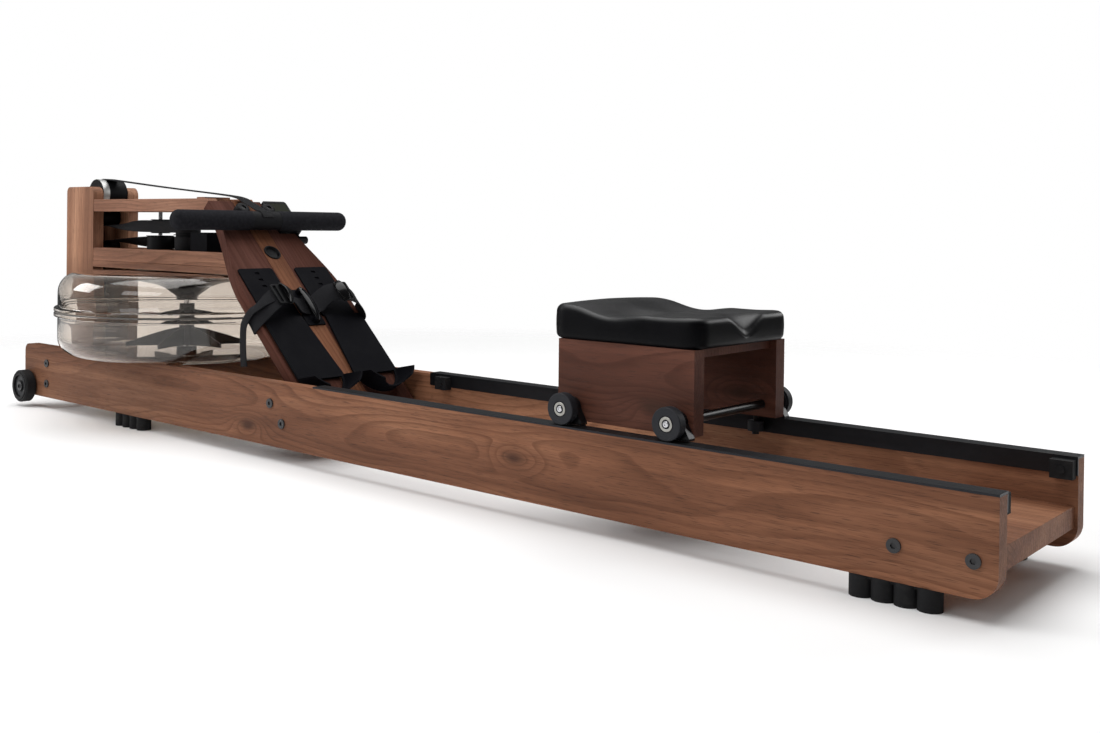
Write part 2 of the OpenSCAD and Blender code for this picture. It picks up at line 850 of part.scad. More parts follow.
module strap_buckles() {
    placed() color("#101012") on_board() both_sides() {
        translate([strap_s0 - 4, buckle_y, buckle_h]) linear_extrude(height = 5) difference() {
            round_rect(strap_s1 - strap_s0 + 8, buckle_w, 3);
            for (y = [5, 17]) translate([5, y]) square([strap_s1 - strap_s0 - 2, 8]);
        }
        translate([strap_s0 - 1, buckle_y + 4, buckle_h + 5])
            cube([strap_s1 - strap_s0 + 2, buckle_w - 10, 3]);
    }
}

module handle_rests() {
    placed() color("#151517") on_board() both_sides() translate([peg_s, peg_y, 0])
        rotate_extrude() difference() {
            square([peg_r, peg_h]);
            translate([peg_r, peg_h]) mirror([1, 0]) mirror([0, 1]) corner(5);
            translate([0, peg_h - 3]) square([5, 4]);
        }
}

// ---------- monitor ----------

module monitor_body() {
    placed() color("#1b1c1e") on_board() {
        difference() {
            translate([mon_s0, mon_y0, mon_top - mon_t]) linear_extrude(height = mon_t)
                round_rect(mon_s1 - mon_s0, mon_w, 6);
            translate([mon_s0 + 6, mon_y0 + 4, mon_top - 2]) cube([52, mon_w - 8, 5]);
            for (y = button_ys) translate([button_s, y, mon_top - 6])
                cylinder(h = 10, d = button_d + 0.4);
        }
        // the bracket behind it, with its thumb screw
        translate([-78, 30, -board_t - 4]) cube([58, 68, 4]);
        translate([-70, 50, -board_t]) cube([44, 40, board_t - mon_t + mon_top]);
        translate([-14, 88, -16]) cube([22, 6, 12]);
        translate([6, 88, -10]) rotate([-90, 0, 0]) cylinder(h = 22, d = 15);
    }
}

module monitor_screen() {
    placed() color("#4a4d38") on_board() translate([mon_s0 + 6, mon_y0 + 4, mon_top - 2])
        cube([52, mon_w - 8, 1.6]);
}

module monitor_button(y) {
    placed() color("#3c3d40") on_board() translate([button_s, y, mon_top - 4.5])
        cylinder(h = 5.3, d = button_d);
}

module monitor_button_1() { monitor_button(button_ys[0]); }
module monitor_button_2() { monitor_button(button_ys[1]); }

// ---------- handle ----------

module handle_core() {
    placed() color("#202023") {
        bar_y(handle_x, handle_z, -handle_len / 2 + 14, handle_len / 2 - 14, core_d);
        turned_y(handle_x, -sleeve_len / 2, handle_z) {
            translate([core_d / 2 - 1, 0]) square([grip_d / 2 - 0.7 - core_d / 2 + 1, sleeve_len]);
        }
    }
}

module handle_grips() {
    grip_len = (handle_len - sleeve_len) / 2;
    placed() color("#232326") both_sides() turned_y(handle_x, sleeve_len / 2, handle_z) difference() {
        square([grip_d / 2, grip_len]);
        translate([-1, -1]) square([core_d / 2 + 1, grip_len - 13]);
        translate([grip_d / 2, grip_len]) mirror([1, 0]) mirror([0, 1]) corner(14);
        translate([grip_d / 2, 0]) mirror([1, 0]) corner(1.5);
    }
}

// ---------- seat ----------

module seat_pad() {
    placed() color("#1d1d1f") {
        translate([pad_x0, -pad_w / 2, seat_top]) linear_extrude(height = pad_t)
            round_rect(pad_len, pad_w, pad_r);
        translate([pad_x0 + lip_in, 0, seat_top]) intersection() {
            translate([0, -pad_w / 4, pad_t - 5]) cube([lip_len, pad_w / 2, lip_h + 10]);
            translate([0, 0, pad_t + lip_h - lip_r]) rotate([0, 90, 0])
                cylinder(h = lip_len, r = lip_r);
        }
    }
}

module seat_boards() {
    placed() color("#76482f") {
        both_sides() difference() {
            translate([seat_x0, board_in_y, seat_z]) cube([seat_len, seat_board_t, seat_top - seat_z]);
            for (x = [axle_x, axle_x + wheelbase])
                bar_y(x, wheel_z, 0, half_w, axle_rod_d + 2 * slack);
            for (x = roller_xs) translate([x, roller_y, seat_z - 1]) cylinder(h = 22, d = 6 + 2 * slack);
        }
        translate([seat_x0 + 10, -board_in_y, seat_top - 12]) cube([seat_len - 20, 2 * board_in_y, 12]);
    }
}

// The axles, the four track wipers beside the wheels and the guide rollers' pins.
module seat_axles() {
    wiper_y = board_in_y + seat_board_t;
    wheel_y1 = wheel_y + wheel_w;
    placed() {
        for (x = [axle_x, axle_x + wheelbase]) {
            color("#2a2a2c") bar_y(x, wheel_z, -wheel_y + 1, wheel_y - 1, axle_rod_d);
            color("#b4b4b6") bar_y(x, wheel_z, -wheel_y1 + 1, wheel_y1 - 1, 8);
            color("#18181a") both_sides() across(wiper_y, wheel_y - 0.5) difference() {
                union() {
                    translate([x, wheel_z]) circle(14);
                    polygon([[x - 24, track_top + 1], [x + 24, track_top + 1], [x + 24, track_top + 4],
                             [x + 12, wheel_z + 3], [x - 12, wheel_z + 3], [x - 24, track_top + 4]]);
                }
                translate([x, wheel_z]) circle(axle_rod_d / 2);
            }
        }
        color("#8c8c90") both_sides() for (x = roller_xs) {
            translate([x, roller_y, roller_z - 1.5]) cylinder(h = seat_z + 20 - roller_z + 1.5, d = 6);
            translate([x, roller_y, roller_z - 4.5]) cylinder(h = 4, d = 10);
        }
    }
}

module seat_wheel(x) {
    placed() color("#1c1c1e") turned_y(x, wheel_y, wheel_z) difference() {
        translate([4 + fit, 0]) square([wheel_r - 4 - fit, wheel_w]);
        translate([wheel_r, wheel_w]) mirror([1, 0]) mirror([0, 1]) corner(1.5);
        translate([wheel_r - 2.5, -1]) square([4, 4.5]);
        translate([bearing_d / 2, wheel_w - 1]) square([1.2, 2]);
    }
}

module seat_wheel_front_right() { seat_wheel(axle_x); }
module seat_wheel_rear_right() { seat_wheel(axle_x + wheelbase); }
module seat_wheel_front_left() { mirror([0, 1, 0]) seat_wheel(axle_x); }
module seat_wheel_rear_left() { mirror([0, 1, 0]) seat_wheel(axle_x + wheelbase); }

module guide_roller(x) {
    placed() color("#1c1c1e") translate([x, roller_y, roller_z]) difference() {
        cylinder(h = roller_h, r = roller_r);
        translate([0, 0, -1]) cylinder(h = roller_h + 2, d = 6 + 2 * fit);
    }
}

module guide_roller_front_right() { guide_roller(roller_xs[0]); }
module guide_roller_rear_right() { guide_roller(roller_xs[1]); }
module guide_roller_front_left() { mirror([0, 1, 0]) guide_roller(roller_xs[0]); }
module guide_roller_rear_left() { mirror([0, 1, 0]) guide_roller(roller_xs[1]); }

rail_left();
rail_right();
rear_spacer();
front_crossmember();
footboard_block();
tracks();
track_stops();
frame_bolts();
feet();
transport_wheel_left();
transport_wheel_right();
post_boards();
roller_axles();
deck_beams();
deck_plate();
deck_spacers();
tank_upper();
tank_lower();
tank_seal();
tank_plug();
shaft_bearings();
sensor_box();
top_pulley();
drive_guide_roller();
recoil_guide_roller();
cord_pulley();
drive_idler();
recoil_idler();
drive_spool();
paddle_shaft();
paddle();
drive_strap();
recoil_belt();
recoil_cord();
footboard();
footboard_insert();
foot_plates();
heel_plate_left();
heel_plate_right();
strap_anchor();
foot_straps();
strap_buckles();
handle_rests();
monitor_body();
monitor_screen();
monitor_button_1();
monitor_button_2();
handle_core();
handle_grips();
seat_pad();
seat_boards();
seat_axles();
seat_wheel_front_left();
seat_wheel_front_right();
seat_wheel_rear_left();
seat_wheel_rear_right();
guide_roller_front_left();
guide_roller_front_right();
guide_roller_rear_left();
guide_roller_rear_right();
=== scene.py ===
"""The looks of a wooden water-resistance rowing machine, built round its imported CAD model."""

import math

import bmesh
import bpy
from mathutils import Matrix, Vector
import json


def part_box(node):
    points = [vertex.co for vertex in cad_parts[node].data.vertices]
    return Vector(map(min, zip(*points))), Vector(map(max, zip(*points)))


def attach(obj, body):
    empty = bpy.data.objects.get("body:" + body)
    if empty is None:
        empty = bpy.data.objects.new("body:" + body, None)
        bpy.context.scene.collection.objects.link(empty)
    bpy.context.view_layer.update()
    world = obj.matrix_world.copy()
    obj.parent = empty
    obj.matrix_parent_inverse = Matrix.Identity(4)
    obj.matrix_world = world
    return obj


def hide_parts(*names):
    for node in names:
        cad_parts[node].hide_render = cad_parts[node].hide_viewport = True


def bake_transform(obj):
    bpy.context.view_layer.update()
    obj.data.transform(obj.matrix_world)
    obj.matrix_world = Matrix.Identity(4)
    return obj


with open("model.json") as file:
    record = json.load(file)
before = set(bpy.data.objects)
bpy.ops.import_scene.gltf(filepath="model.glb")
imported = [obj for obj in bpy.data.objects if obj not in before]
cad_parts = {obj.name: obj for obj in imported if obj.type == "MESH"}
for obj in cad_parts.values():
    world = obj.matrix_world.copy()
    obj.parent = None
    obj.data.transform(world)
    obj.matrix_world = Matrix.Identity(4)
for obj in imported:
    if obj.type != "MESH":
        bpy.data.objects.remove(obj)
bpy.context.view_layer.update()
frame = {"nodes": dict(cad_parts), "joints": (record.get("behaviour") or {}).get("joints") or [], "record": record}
NODES = frame["nodes"]
MM = 0.001

# ---------- the camera ----------

CAMERA_AT = (1.43257, -1.35163, 0.40086)
CAMERA_YAW = 0.721395
CAMERA_PITCH = -0.00757
CAMERA_ROLL = 0.01196
CAMERA_LENS = 38.11
CAMERA_SHIFT = (0.03697, -0.12037)


def add_camera():
    data = bpy.data.cameras.new("camera")
    data.lens = CAMERA_LENS
    data.sensor_width = 36
    data.shift_x, data.shift_y = CAMERA_SHIFT
    camera = bpy.data.objects.new("camera", data)
    bpy.context.scene.collection.objects.link(camera)
    turn = Matrix.Rotation(CAMERA_YAW, 4, "Z") @ Matrix.Rotation(math.pi / 2 + CAMERA_PITCH, 4, "X")
    camera.matrix_world = Matrix.Translation(CAMERA_AT) @ turn @ Matrix.Rotation(CAMERA_ROLL, 4, "Z")
    bpy.context.scene.camera = camera


add_camera()

# ---------- node materials ----------


class Look:
    """One node material round a Principled shader."""

    def __init__(self, name, **values):
        self.material = bpy.data.materials.new(name)
        self.material.use_nodes = True
        self.tree = self.material.node_tree
        self.shader = self.tree.nodes["Principled BSDF"]
        for key, value in values.items():
            self.put(self.shader.inputs[key.replace("_", " ")], value)

    def put(self, socket, value):
        if isinstance(value, bpy.types.NodeSocket):
            self.tree.links.new(value, socket)
        elif isinstance(value, (tuple, list)) and len(value) == 3 and socket.type == "RGBA":
            socket.default_value = (*value, 1)
        else:
            socket.default_value = value

    def set(self, name, value):
        self.put(self.shader.inputs[name], value)

    def node(self, kind, props=(), **sockets):
        made = self.tree.nodes.new("ShaderNode" + kind)
        for key, value in dict(props).items():
            setattr(made, key, value)
        for key, value in sockets.items():
            place = int(key[1:]) if key[1:].isdigit() else key.replace("_", " ")
            self.put(made.inputs[place], value)
        return made

    def math(self, operation, a, b=0.0):
        return self.node("Math", {"operation": operation}, i0=a, i1=b).outputs[0]

    def times(self, a, b):
        return self.math("MULTIPLY", a, b)

    def plus(self, a, b):
        return self.math("ADD", a, b)

    def vector(self, operation, a, b=(0, 0, 0)):
        made = self.node("VectorMath", {"operation": operation}, i0=a, i1=b)
        return made.outputs["Value" if operation in ("LENGTH", "DOT_PRODUCT") else "Vector"]

    def place(self):
        """Where a point is in the row frame at rest."""
        return self.node("TexCoord").outputs["Object"]

    def noise(self, where, scale, detail=2.0, rough=0.5, output="Fac"):
        made = self.node("TexNoise", Vector=where, Scale=scale, Detail=detail, Roughness=rough)
        return made.outputs[output]

    def fibres(self, where, squeeze, detail=2.0, rough=0.5):
        """Noise that is squeezed along each axis, so that it runs in lines."""
        return self.noise(self.vector("MULTIPLY", where, squeeze), 1.0, detail, rough)

    def between(self, value, low, high, to_low=0.0, to_high=1.0):
        return self.node("MapRange", Value=value, From_Min=low, From_Max=high,
                         To_Min=to_low, To_Max=to_high).outputs[0]

    def mix(self, factor, a, b, blend="MIX"):
        made = self.node("Mix", {"data_type": "RGBA", "blend_type": blend}, i0=factor, i6=a, i7=b)
        return made.outputs[2]

    def ramp(self, value, *stops):
        made = self.node("ValToRGB", Fac=value)
        line = made.color_ramp
        while len(line.elements) < len(stops):
            line.elements.new(0.5)
        for element, (at, color) in zip(line.elements, stops):
            element.position = at
            element.color = (*color, 1)
        return made.outputs["Color"]

    def gloss(self, rough, shine):
        self.set("Roughness", rough)
        self.set("Specular IOR Level", shine)

    def raised(self, height, distance, strength):
        """Adds the last of the look, its fine relief, and gives the material."""
        bump = self.node("Bump", Height=height, Distance=distance, Strength=strength)
        self.set("Normal", bump.outputs["Normal"])
        return self.material


# walnut's own colours, from its darkest bands to its palest
WALNUT_TONES = ((0.0, (0.125, 0.048, 0.025)), (0.5, (0.270, 0.116, 0.062)), (1.0, (0.480, 0.238, 0.135)))
FOOTBOARD_SLOPE = math.radians(44)
GRAIN_TURN = {"X": 0.0, "Z": math.pi / 2, "slope": -FOOTBOARD_SLOPE}
RINGS_PER_METRE = 150.0
KNOT_SPREAD = 2600.0
KNOT_PUSH = 0.026


def walnut(name, grain="X", shift=(0, 0, 0), dark=1.0, knots=(), fade=None, shine=0.14, tint=(1, 1, 1)):
    """Oiled walnut. grain is the way its fibres run, knots are (along, across) from the piece's
    middle, and fade is the axis (0 to 2), start, end and tone of a slow change to a darker tone."""
    look = Look(name)
    turned = look.node("Mapping", {"vector_type": "POINT"}, Vector=look.place(),
                       Rotation=(0, GRAIN_TURN[grain], 0), Location=shift)
    board = turned.outputs[0]
    split = look.node("SeparateXYZ", Vector=board)
    along, side, up = split.outputs

    # slow wandering of the rings along the board
    slow = look.vector("MULTIPLY", board, (1.05, 4.6, 4.6))
    wander = look.vector("SUBTRACT", look.noise(slow, 1.0, 2.5, 0.55, "Color"), (0.5, 0.5, 0.5))
    ripple = look.math("SUBTRACT", look.fibres(board, (6.0, 30.0, 30.0)), 0.5)
    drift = look.vector("MULTIPLY", wander, (0.0, 0.11, 0.11))
    moved = look.vector("ADD", look.node("CombineXYZ", X=0.0, Y=side, Z=up).outputs[0], drift)
    radius = look.vector("LENGTH", moved)
    radius = look.plus(radius, look.times(ripple, 0.0035))

    # each knot pushes the rings aside
    knot_shade = 0.0
    for at_along, at_up in knots:
        away = look.node("CombineXYZ",
                         X=look.times(look.math("SUBTRACT", along, at_along), 0.42),
                         Y=0.0, Z=look.math("SUBTRACT", up, at_up)).outputs[0]
        far = look.plus(look.vector("LENGTH", away), look.times(ripple, 0.006))
        close = look.math("POWER", 2.718, look.times(look.times(far, far), -KNOT_SPREAD))
        radius = look.plus(radius, look.times(close, KNOT_PUSH))
        eye = look.between(far, 0.003, 0.012, 1.0, 0.0)
        knot_shade = look.math("MAXIMUM", knot_shade, eye)

    ring = look.math("FRACT", look.times(radius, RINGS_PER_METRE))
    broad = look.fibres(board, (1.2, 9.0, 9.0), 3.0, 0.6)
    fibre = look.fibres(board, (14.0, 420.0, 420.0), 3.0, 0.65)
    streak = look.fibres(board, (1.6, 85.0, 85.0))
    pore = look.between(look.fibres(board, (45.0, 1500.0, 1500.0), 1.0), 0.60, 0.70)

    body = look.ramp(look.between(broad, 0.25, 0.75),
                     *((at, tuple(dark * c * t for c, t in zip(color, tint))) for at, color in WALNUT_TONES))
    rings = look.ramp(ring, (0.0, (1, 1, 1)), (0.55, (0.93, 0.92, 0.91)), (0.88, (0.58, 0.54, 0.52)),
                      (0.96, (0.68, 0.64, 0.62)), (1.0, (1, 1, 1)))
    body = look.mix(look.between(streak, 0.3, 0.7, 0.25, 0.95), body, rings, "MULTIPLY")
    bands = look.ramp(look.between(streak, 0.3, 0.7), (0.0, (0.72, 0.68, 0.66)), (0.5, (0.95, 0.94, 0.93)),
                      (1.0, (1.16, 1.15, 1.12)))
    body = look.mix(0.8, body, bands, "MULTIPLY")
    body = look.mix(look.between(fibre, 0.3, 0.72, 0.0, 0.34), body, (0.07, 0.032, 0.02))
    body = look.mix(look.times(pore, 0.55), body, (0.035, 0.017, 0.012))
    if knots:
        body = look.mix(look.times(knot_shade, 0.8), body, (0.05, 0.022, 0.014))
    # fade darkens the wood along one axis; on the post this darkening is painted shade behind the tank
    if fade:
        axis, start, end, tone = fade
        where = look.node("SeparateXYZ", Vector=look.place()).outputs[axis]
        end_tone = look.between(where, start, end, tone, 1.0)
        grey = look.node("CombineXYZ", X=end_tone, Y=end_tone, Z=end_tone).outputs[0]
        body = look.mix(1.0, body, grey, "MULTIPLY")
    look.set("Base Color", body)
    look.gloss(look.between(fibre, 0.2, 0.8, 0.42, 0.62), shine)
    grain_height = look.math("SUBTRACT", look.times(fibre, 0.5), look.times(pore, 0.6))
    return look.raised(grain_height, 0.0003, 0.6)


def plastic(name, color, rough, grain_scale=900.0, depth=0.00012, wear=0.25, shine=0.2):
    """Moulded plastic with a fine grain, lightly rubbed in places."""
    look = Look(name)
    here = look.place()
    grain = look.noise(here, grain_scale, 2.0)
    rub = look.noise(here, 22.0, 4.0, 0.6)
    lighter = tuple(min(1.0, c * 1.9 + 0.005) for c in color)
    look.set("Base Color", look.mix(look.between(rub, 0.52, 0.8, 0.0, wear), color, lighter))
    look.gloss(look.between(rub, 0.3, 0.75, rough * 0.85, min(1.0, rough * 1.2)), shine)
    return look.raised(grain, depth, 0.7)


def rubber(name, color, rough):
    """Matt rubber with patches of dust."""
    look = Look(name)
    here = look.place()
    dust = look.noise(here, 60.0, 5.0, 0.65)
    skin = look.noise(here, 1400.0, 2.0)
    look.set("Base Color", look.mix(look.between(dust, 0.5, 0.8, 0.0, 0.35), color, (0.05, 0.048, 0.046)))
    look.gloss(look.between(dust, 0.3, 0.7, rough - 0.08, rough + 0.08), 0.2)
    return look.raised(skin, 0.0002, 0.6)


def foam(name):
    """Closed-cell foam: small open cells over a soft skin."""
    look = Look(name)
    here = look.place()
    cells = look.node("TexVoronoi", Vector=here, Scale=900.0).outputs["Distance"]
    soft = look.noise(here, 160.0, 3.0, 0.6)
    look.set("Base Color", look.mix(look.between(soft, 0.35, 0.7), (0.010, 0.010, 0.0125),
                                    (0.017, 0.017, 0.0205)))
    look.gloss(0.86, 0.1)
    height = look.plus(cells, look.times(soft, 0.4))
    return look.raised(height, 0.0004, 0.7)


def brushed(name, color, rough, stretch, metal=1.0):
    """Turned or drawn metal. stretch is how the fine lines are squeezed along each axis."""
    look = Look(name)
    lines = look.fibres(look.place(), stretch, 3.0, 0.6)
    marks = look.noise(look.place(), 45.0, 4.0, 0.6)
    darker = tuple(c * 0.72 for c in color)
    look.set("Base Color", look.mix(look.between(marks, 0.45, 0.8, 0.0, 0.6), color, darker))
    look.set("Metallic", metal)
    look.set("Roughness", look.between(lines, 0.25, 0.75, rough * 0.75, rough * 1.3))
    return look.raised(lines, 0.00006, 0.5)


def painted(name, color, rough):
    """Powder coat: a slight orange peel."""
    look = Look(name)
    here = look.place()
    peel = look.noise(here, 700.0, 2.0)
    rub = look.noise(here, 35.0, 4.0, 0.6)
    lighter = tuple(c * 1.7 + 0.008 for c in color)
    look.set("Base Color", look.mix(look.between(rub, 0.5, 0.8, 0.0, 0.4), color, lighter))
    look.gloss(look.between(rub, 0.3, 0.7, rough * 0.85, rough * 1.15), 0.3)
    return look.raised(peel, 0.0001, 0.5)


RIB_PITCH = 1.6 * MM
TWILL_PITCH = 2.2 * MM


def webbing(name, color, rough=0.72):
    """Woven strap. Its threads follow the strap's own map: u along it and v across it, in metres."""
    look = Look(name)
    strap = look.node("UVMap", {"uv_map": "strap"}).outputs["UV"]
    along, across, _ = look.node("SeparateXYZ", Vector=strap).outputs
    ribs = look.math("SINE", look.times(along, 2 * math.pi / RIB_PITCH))
    slanting = look.plus(look.times(along, 0.5), across)
    twill = look.math("SINE", look.times(slanting, 2 * math.pi / TWILL_PITCH))
    weave = look.times(ribs, twill)
    fuzz = look.noise(look.place(), 1800.0, 2.0)
    tone = look.between(look.plus(weave, fuzz), -0.4, 1.6)
    lighter = tuple(c * 2.1 + 0.006 for c in color)
    look.set("Base Color", look.mix(tone, color, lighter))
    look.gloss(rough, 0.15)
    height = look.plus(weave, look.times(fuzz, 0.5))
    return look.raised(height, 0.00035, 0.8)


def braid(name):
    """The braided cover of the stretch cord."""
    look = Look(name)
    here = look.place()
    one = look.node("TexWave", {"wave_type": "BANDS", "bands_direction": "DIAGONAL"},
                    Vector=here, Scale=260.0, Distortion=1.0)
    two = look.node("TexWave", {"wave_type": "BANDS", "bands_direction": "X"},
                    Vector=here, Scale=320.0, Distortion=1.5)
    height = look.times(one.outputs["Fac"], two.outputs["Fac"])
    look.set("Base Color", look.mix(height, (0.012, 0.012, 0.014), (0.05, 0.05, 0.055)))
    look.set("Roughness", 0.75)
    return look.raised(height, 0.0005, 0.8)


def smoked_clear(name, tint):
    """Smoked polycarbonate, with faint moulding waves and a little dust."""
    look = Look(name)
    here = look.place()
    wave = look.noise(here, 14.0, 2.0)
    dust = look.noise(here, 120.0, 4.0, 0.7)
    deeper = tuple(c * 0.93 for c in tint)
    look.set("Base Color", look.mix(look.between(wave, 0.3, 0.7, 0.0, 0.25), tint, deeper))
    look.set("Roughness", look.between(dust, 0.55, 0.85, 0.012, 0.06))
    look.set("Transmission Weight", 1.0)
    look.set("IOR", 1.46)
    return look.raised(wave, 0.0012, 0.35)


def seat_skin(name):
    """Moulded foam skin: fine leathery pores, a satin shine and faint dust. The shine is strong on faces that point
    up and weak on the sides: a painted highlight on the top and painted shade on the sides.
    """
    look = Look(name)
    here = look.place()
    pores = look.node("TexVoronoi", Vector=here, Scale=1100.0).outputs["Distance"]
    crease = look.noise(here, 300.0, 3.0, 0.6)
    sat_on = look.noise(here, 16.0, 3.0, 0.55)
    look.set("Base Color", look.mix(look.between(sat_on, 0.4, 0.75, 0.0, 0.5), (0.0022, 0.0022, 0.0030),
                                    (0.0050, 0.0050, 0.0060)))
    # specular level set by which way a face points: painted highlight on the pad's top, painted shade on its sides
    facing_up = look.node("SeparateXYZ", Vector=look.node("TexCoord").outputs["Normal"]).outputs[2]
    painted_top_shine = look.between(facing_up, 0.3, 0.9)
    look.gloss(look.between(sat_on, 0.3, 0.75, 0.33, 0.46), look.between(painted_top_shine, 0.0, 1.0, 0.07, 0.42))
    height = look.plus(pores, look.times(crease, 0.7))
    return look.raised(height, 0.00016, 0.55)


def display(name):
    """The unlit panel of the monitor, behind a scratched window."""
    look = Look(name)
    here = look.place()
    haze = look.noise(here, 90.0, 4.0, 0.6)
    look.set("Base Color", look.mix(haze, (0.012, 0.014, 0.008), (0.018, 0.020, 0.012)))
    look.gloss(look.between(haze, 0.3, 0.7, 0.28, 0.4), 0.03)
    return look.material


LOOKS = {
    "rail_left": walnut("walnut_rail_left", "X", (0.0, 0.20, -0.075), 0.95, ((0.385, 0.006), (-0.22, -0.022)),
                        (0, -0.8, 0.3, 0.72)),
    "rail_right": walnut("walnut_rail_right", "X", (0.7, -0.215, -0.06), 1.0, (), (0, -0.8, 0.3, 0.8)),
    "plank": walnut("walnut_plank", "X", (0.3, 0.4, 0.05), 1.02),
    # the post's fade darkens it below 0.22 to 0.33 m up: painted shade on its lower part, where the tank and the
    # deck keep light off it
    "post": walnut("walnut_post", "Z", (1.3, 0.1, 1.03), 1.38, (), (2, 0.22, 0.33, 0.4),
                   tint=(1.07, 1.25, 1.42)),
    "beam": walnut("walnut_beam", "X", (2.1, 0.15, -0.3), 1.3, tint=(1.05, 1.2, 1.4)),
    "board": walnut("walnut_board", "slope", (3.2, 0.06, 0.05), 0.34, shine=0.02, tint=(0.78, 0.68, 0.95)),
    "strip": walnut("pale_strip", "slope", (4.4, 0.12, 0.02), 0.95, shine=0.04),
    "seat": walnut("walnut_seat", "X", (-0.55, 0.17, -0.215), 0.5, knots=((0.045, -0.045),),
                   tint=(0.92, 0.78, 0.95)),
    "black": plastic("black_plastic", (0.0045, 0.0045, 0.0055), 0.5, shine=0.12),
    "plate": plastic("footplate_plastic", (0.0036, 0.0036, 0.0052), 0.62, 500.0, 0.0003, 0.12, shine=0.04),
    "gloss": plastic("gloss_black_plastic", (0.003, 0.003, 0.0035), 0.24, 300.0, 0.00003, 0.1, 0.26),
    "paddle": plastic("paddle_plastic", (0.032, 0.031, 0.032), 0.4),
    "cone": plastic("splash_cone_plastic", (0.024, 0.023, 0.024), 0.3, shine=0.4),
    "button": plastic("button_rubber", (0.05, 0.05, 0.055), 0.6),
    "rubber": rubber("foot_rubber", (0.008, 0.008, 0.009), 0.72),
    "tyre": rubber("tyre_rubber", (0.009, 0.009, 0.010), 0.6),
    "track_wheel": rubber("track_wheel_tyre", (0.018, 0.019, 0.023), 0.55),
    "hub": plastic("wheel_hub", (0.030, 0.031, 0.034), 0.45),
    "seal": rubber("seal_rubber", (0.15, 0.14, 0.13), 0.5),
    "foam": foam("grip_foam"),
    "skin": seat_skin("seat_skin"),
    "track": brushed("black_anodised", (0.028, 0.029, 0.033), 0.38, (6.0, 900.0, 900.0), 0.85),
    "steel": brushed("turned_steel", (0.62, 0.62, 0.64), 0.26, (300.0, 300.0, 40.0)),
    "ring": brushed("bearing_steel", (0.40, 0.39, 0.36), 0.34, (160.0, 60.0, 160.0)),
    "roller": brushed("roller_alloy", (0.50, 0.50, 0.49), 0.42, (900.0, 30.0, 900.0), 0.7),
    "bolt": painted("bolt_black", (0.030, 0.030, 0.032), 0.30),
    "rod": painted("rod_black", (0.008, 0.008, 0.009), 0.3),
    "core": plastic("handle_sleeve", (0.0062, 0.0062, 0.0075), 0.6, 700.0, 0.0004, shine=0.12),
    "webbing": webbing("foot_webbing", (0.0045, 0.0045, 0.006)),
    "belt": webbing("belt_webbing", (0.004, 0.004, 0.005), 0.6),
    "cord": braid("cord_braid"),
    "clear": smoked_clear("smoked_polycarbonate", (0.80, 0.745, 0.69)),
    "display": display("display_panel"),
}

NODE_LOOKS = {
    "track": ["tracks"],
    "rubber": ["feet", "track_stops"],
    "seal": ["tank_seal"],
    "tyre": ["transport_wheel_left", "transport_wheel_right"],
    "bolt": ["frame_bolts"],
    "rod": ["seat_axles"],
    "steel": ["roller_axles", "paddle_shaft"],
    "black": ["handle_rests", "top_pulley", "drive_guide_roller", "recoil_guide_roller", "cord_pulley",
              "drive_idler", "recoil_idler", "drive_spool", "shaft_bearings", "tank_plug", "sensor_box",
              "monitor_body"],
    "plate": ["foot_plates", "heel_plate_left", "heel_plate_right", "strap_anchor"],
    "gloss": ["strap_buckles"],
    "button": ["monitor_button_1", "monitor_button_2"],
    "paddle": ["paddle"],
    "webbing": ["foot_straps"],
    "belt": ["drive_strap", "recoil_belt"],
    "cord": ["recoil_cord"],
    "clear": ["tank_upper", "tank_lower"],
    "foam": ["handle_grips"],
    "core": ["handle_core"],
    "skin": ["seat_pad"],
    "display": ["monitor_screen"],
    "track_wheel": ["seat_wheel_front_left", "seat_wheel_front_right", "seat_wheel_rear_left",
                    "seat_wheel_rear_right", "guide_roller_front_left", "guide_roller_front_right",
                    "guide_roller_rear_left", "guide_roller_rear_right"],
}


def dress(piece, look):
    piece.data.materials.clear()
    piece.data.materials.append(LOOKS[look])


for look_name, node_names in NODE_LOOKS.items():
    for node_name in node_names:
        dress(NODES[node_name], look_name)

# ---------- mesh helpers ----------

# edges of CAD nodes that turn by more degrees than this are rounded over
SHARPEST = 35


def node_body(node_name):
    """The body that a CAD node rides on."""
    bodies = frame["record"]["behaviour"]["bodies"]
    return next(body for body, members in bodies.items() if node_name in members)


def finish_piece(name, mesh, look, body, slot=None, sharp=35):
    piece = bpy.data.objects.new(name, mesh)
    bpy.context.scene.collection.objects.link(piece)
    for face in mesh.polygons:
        face.use_smooth = True
    mesh.set_sharp_from_angle(angle=math.radians(sharp))
    dress(piece, look)
    if body:
        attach(piece, body)
    return piece


def mesh_of(name, points, faces):
    mesh = bpy.data.meshes.new(name)
    mesh.from_pydata([tuple(p) for p in points], [], faces)
    mesh.update()
    return mesh


def rings_joined(rings, around, capped=True):
    """Faces between rings of points, and over the two ends."""
    faces = [(i * around + k, i * around + (k + 1) % around, (i + 1) * around + (k + 1) % around,
              (i + 1) * around + k) for i in range(rings - 1) for k in range(around)]
    if capped:
        faces += [tuple(range(around - 1, -1, -1)),
                  tuple((rings - 1) * around + k for k in range(around))]
    return faces


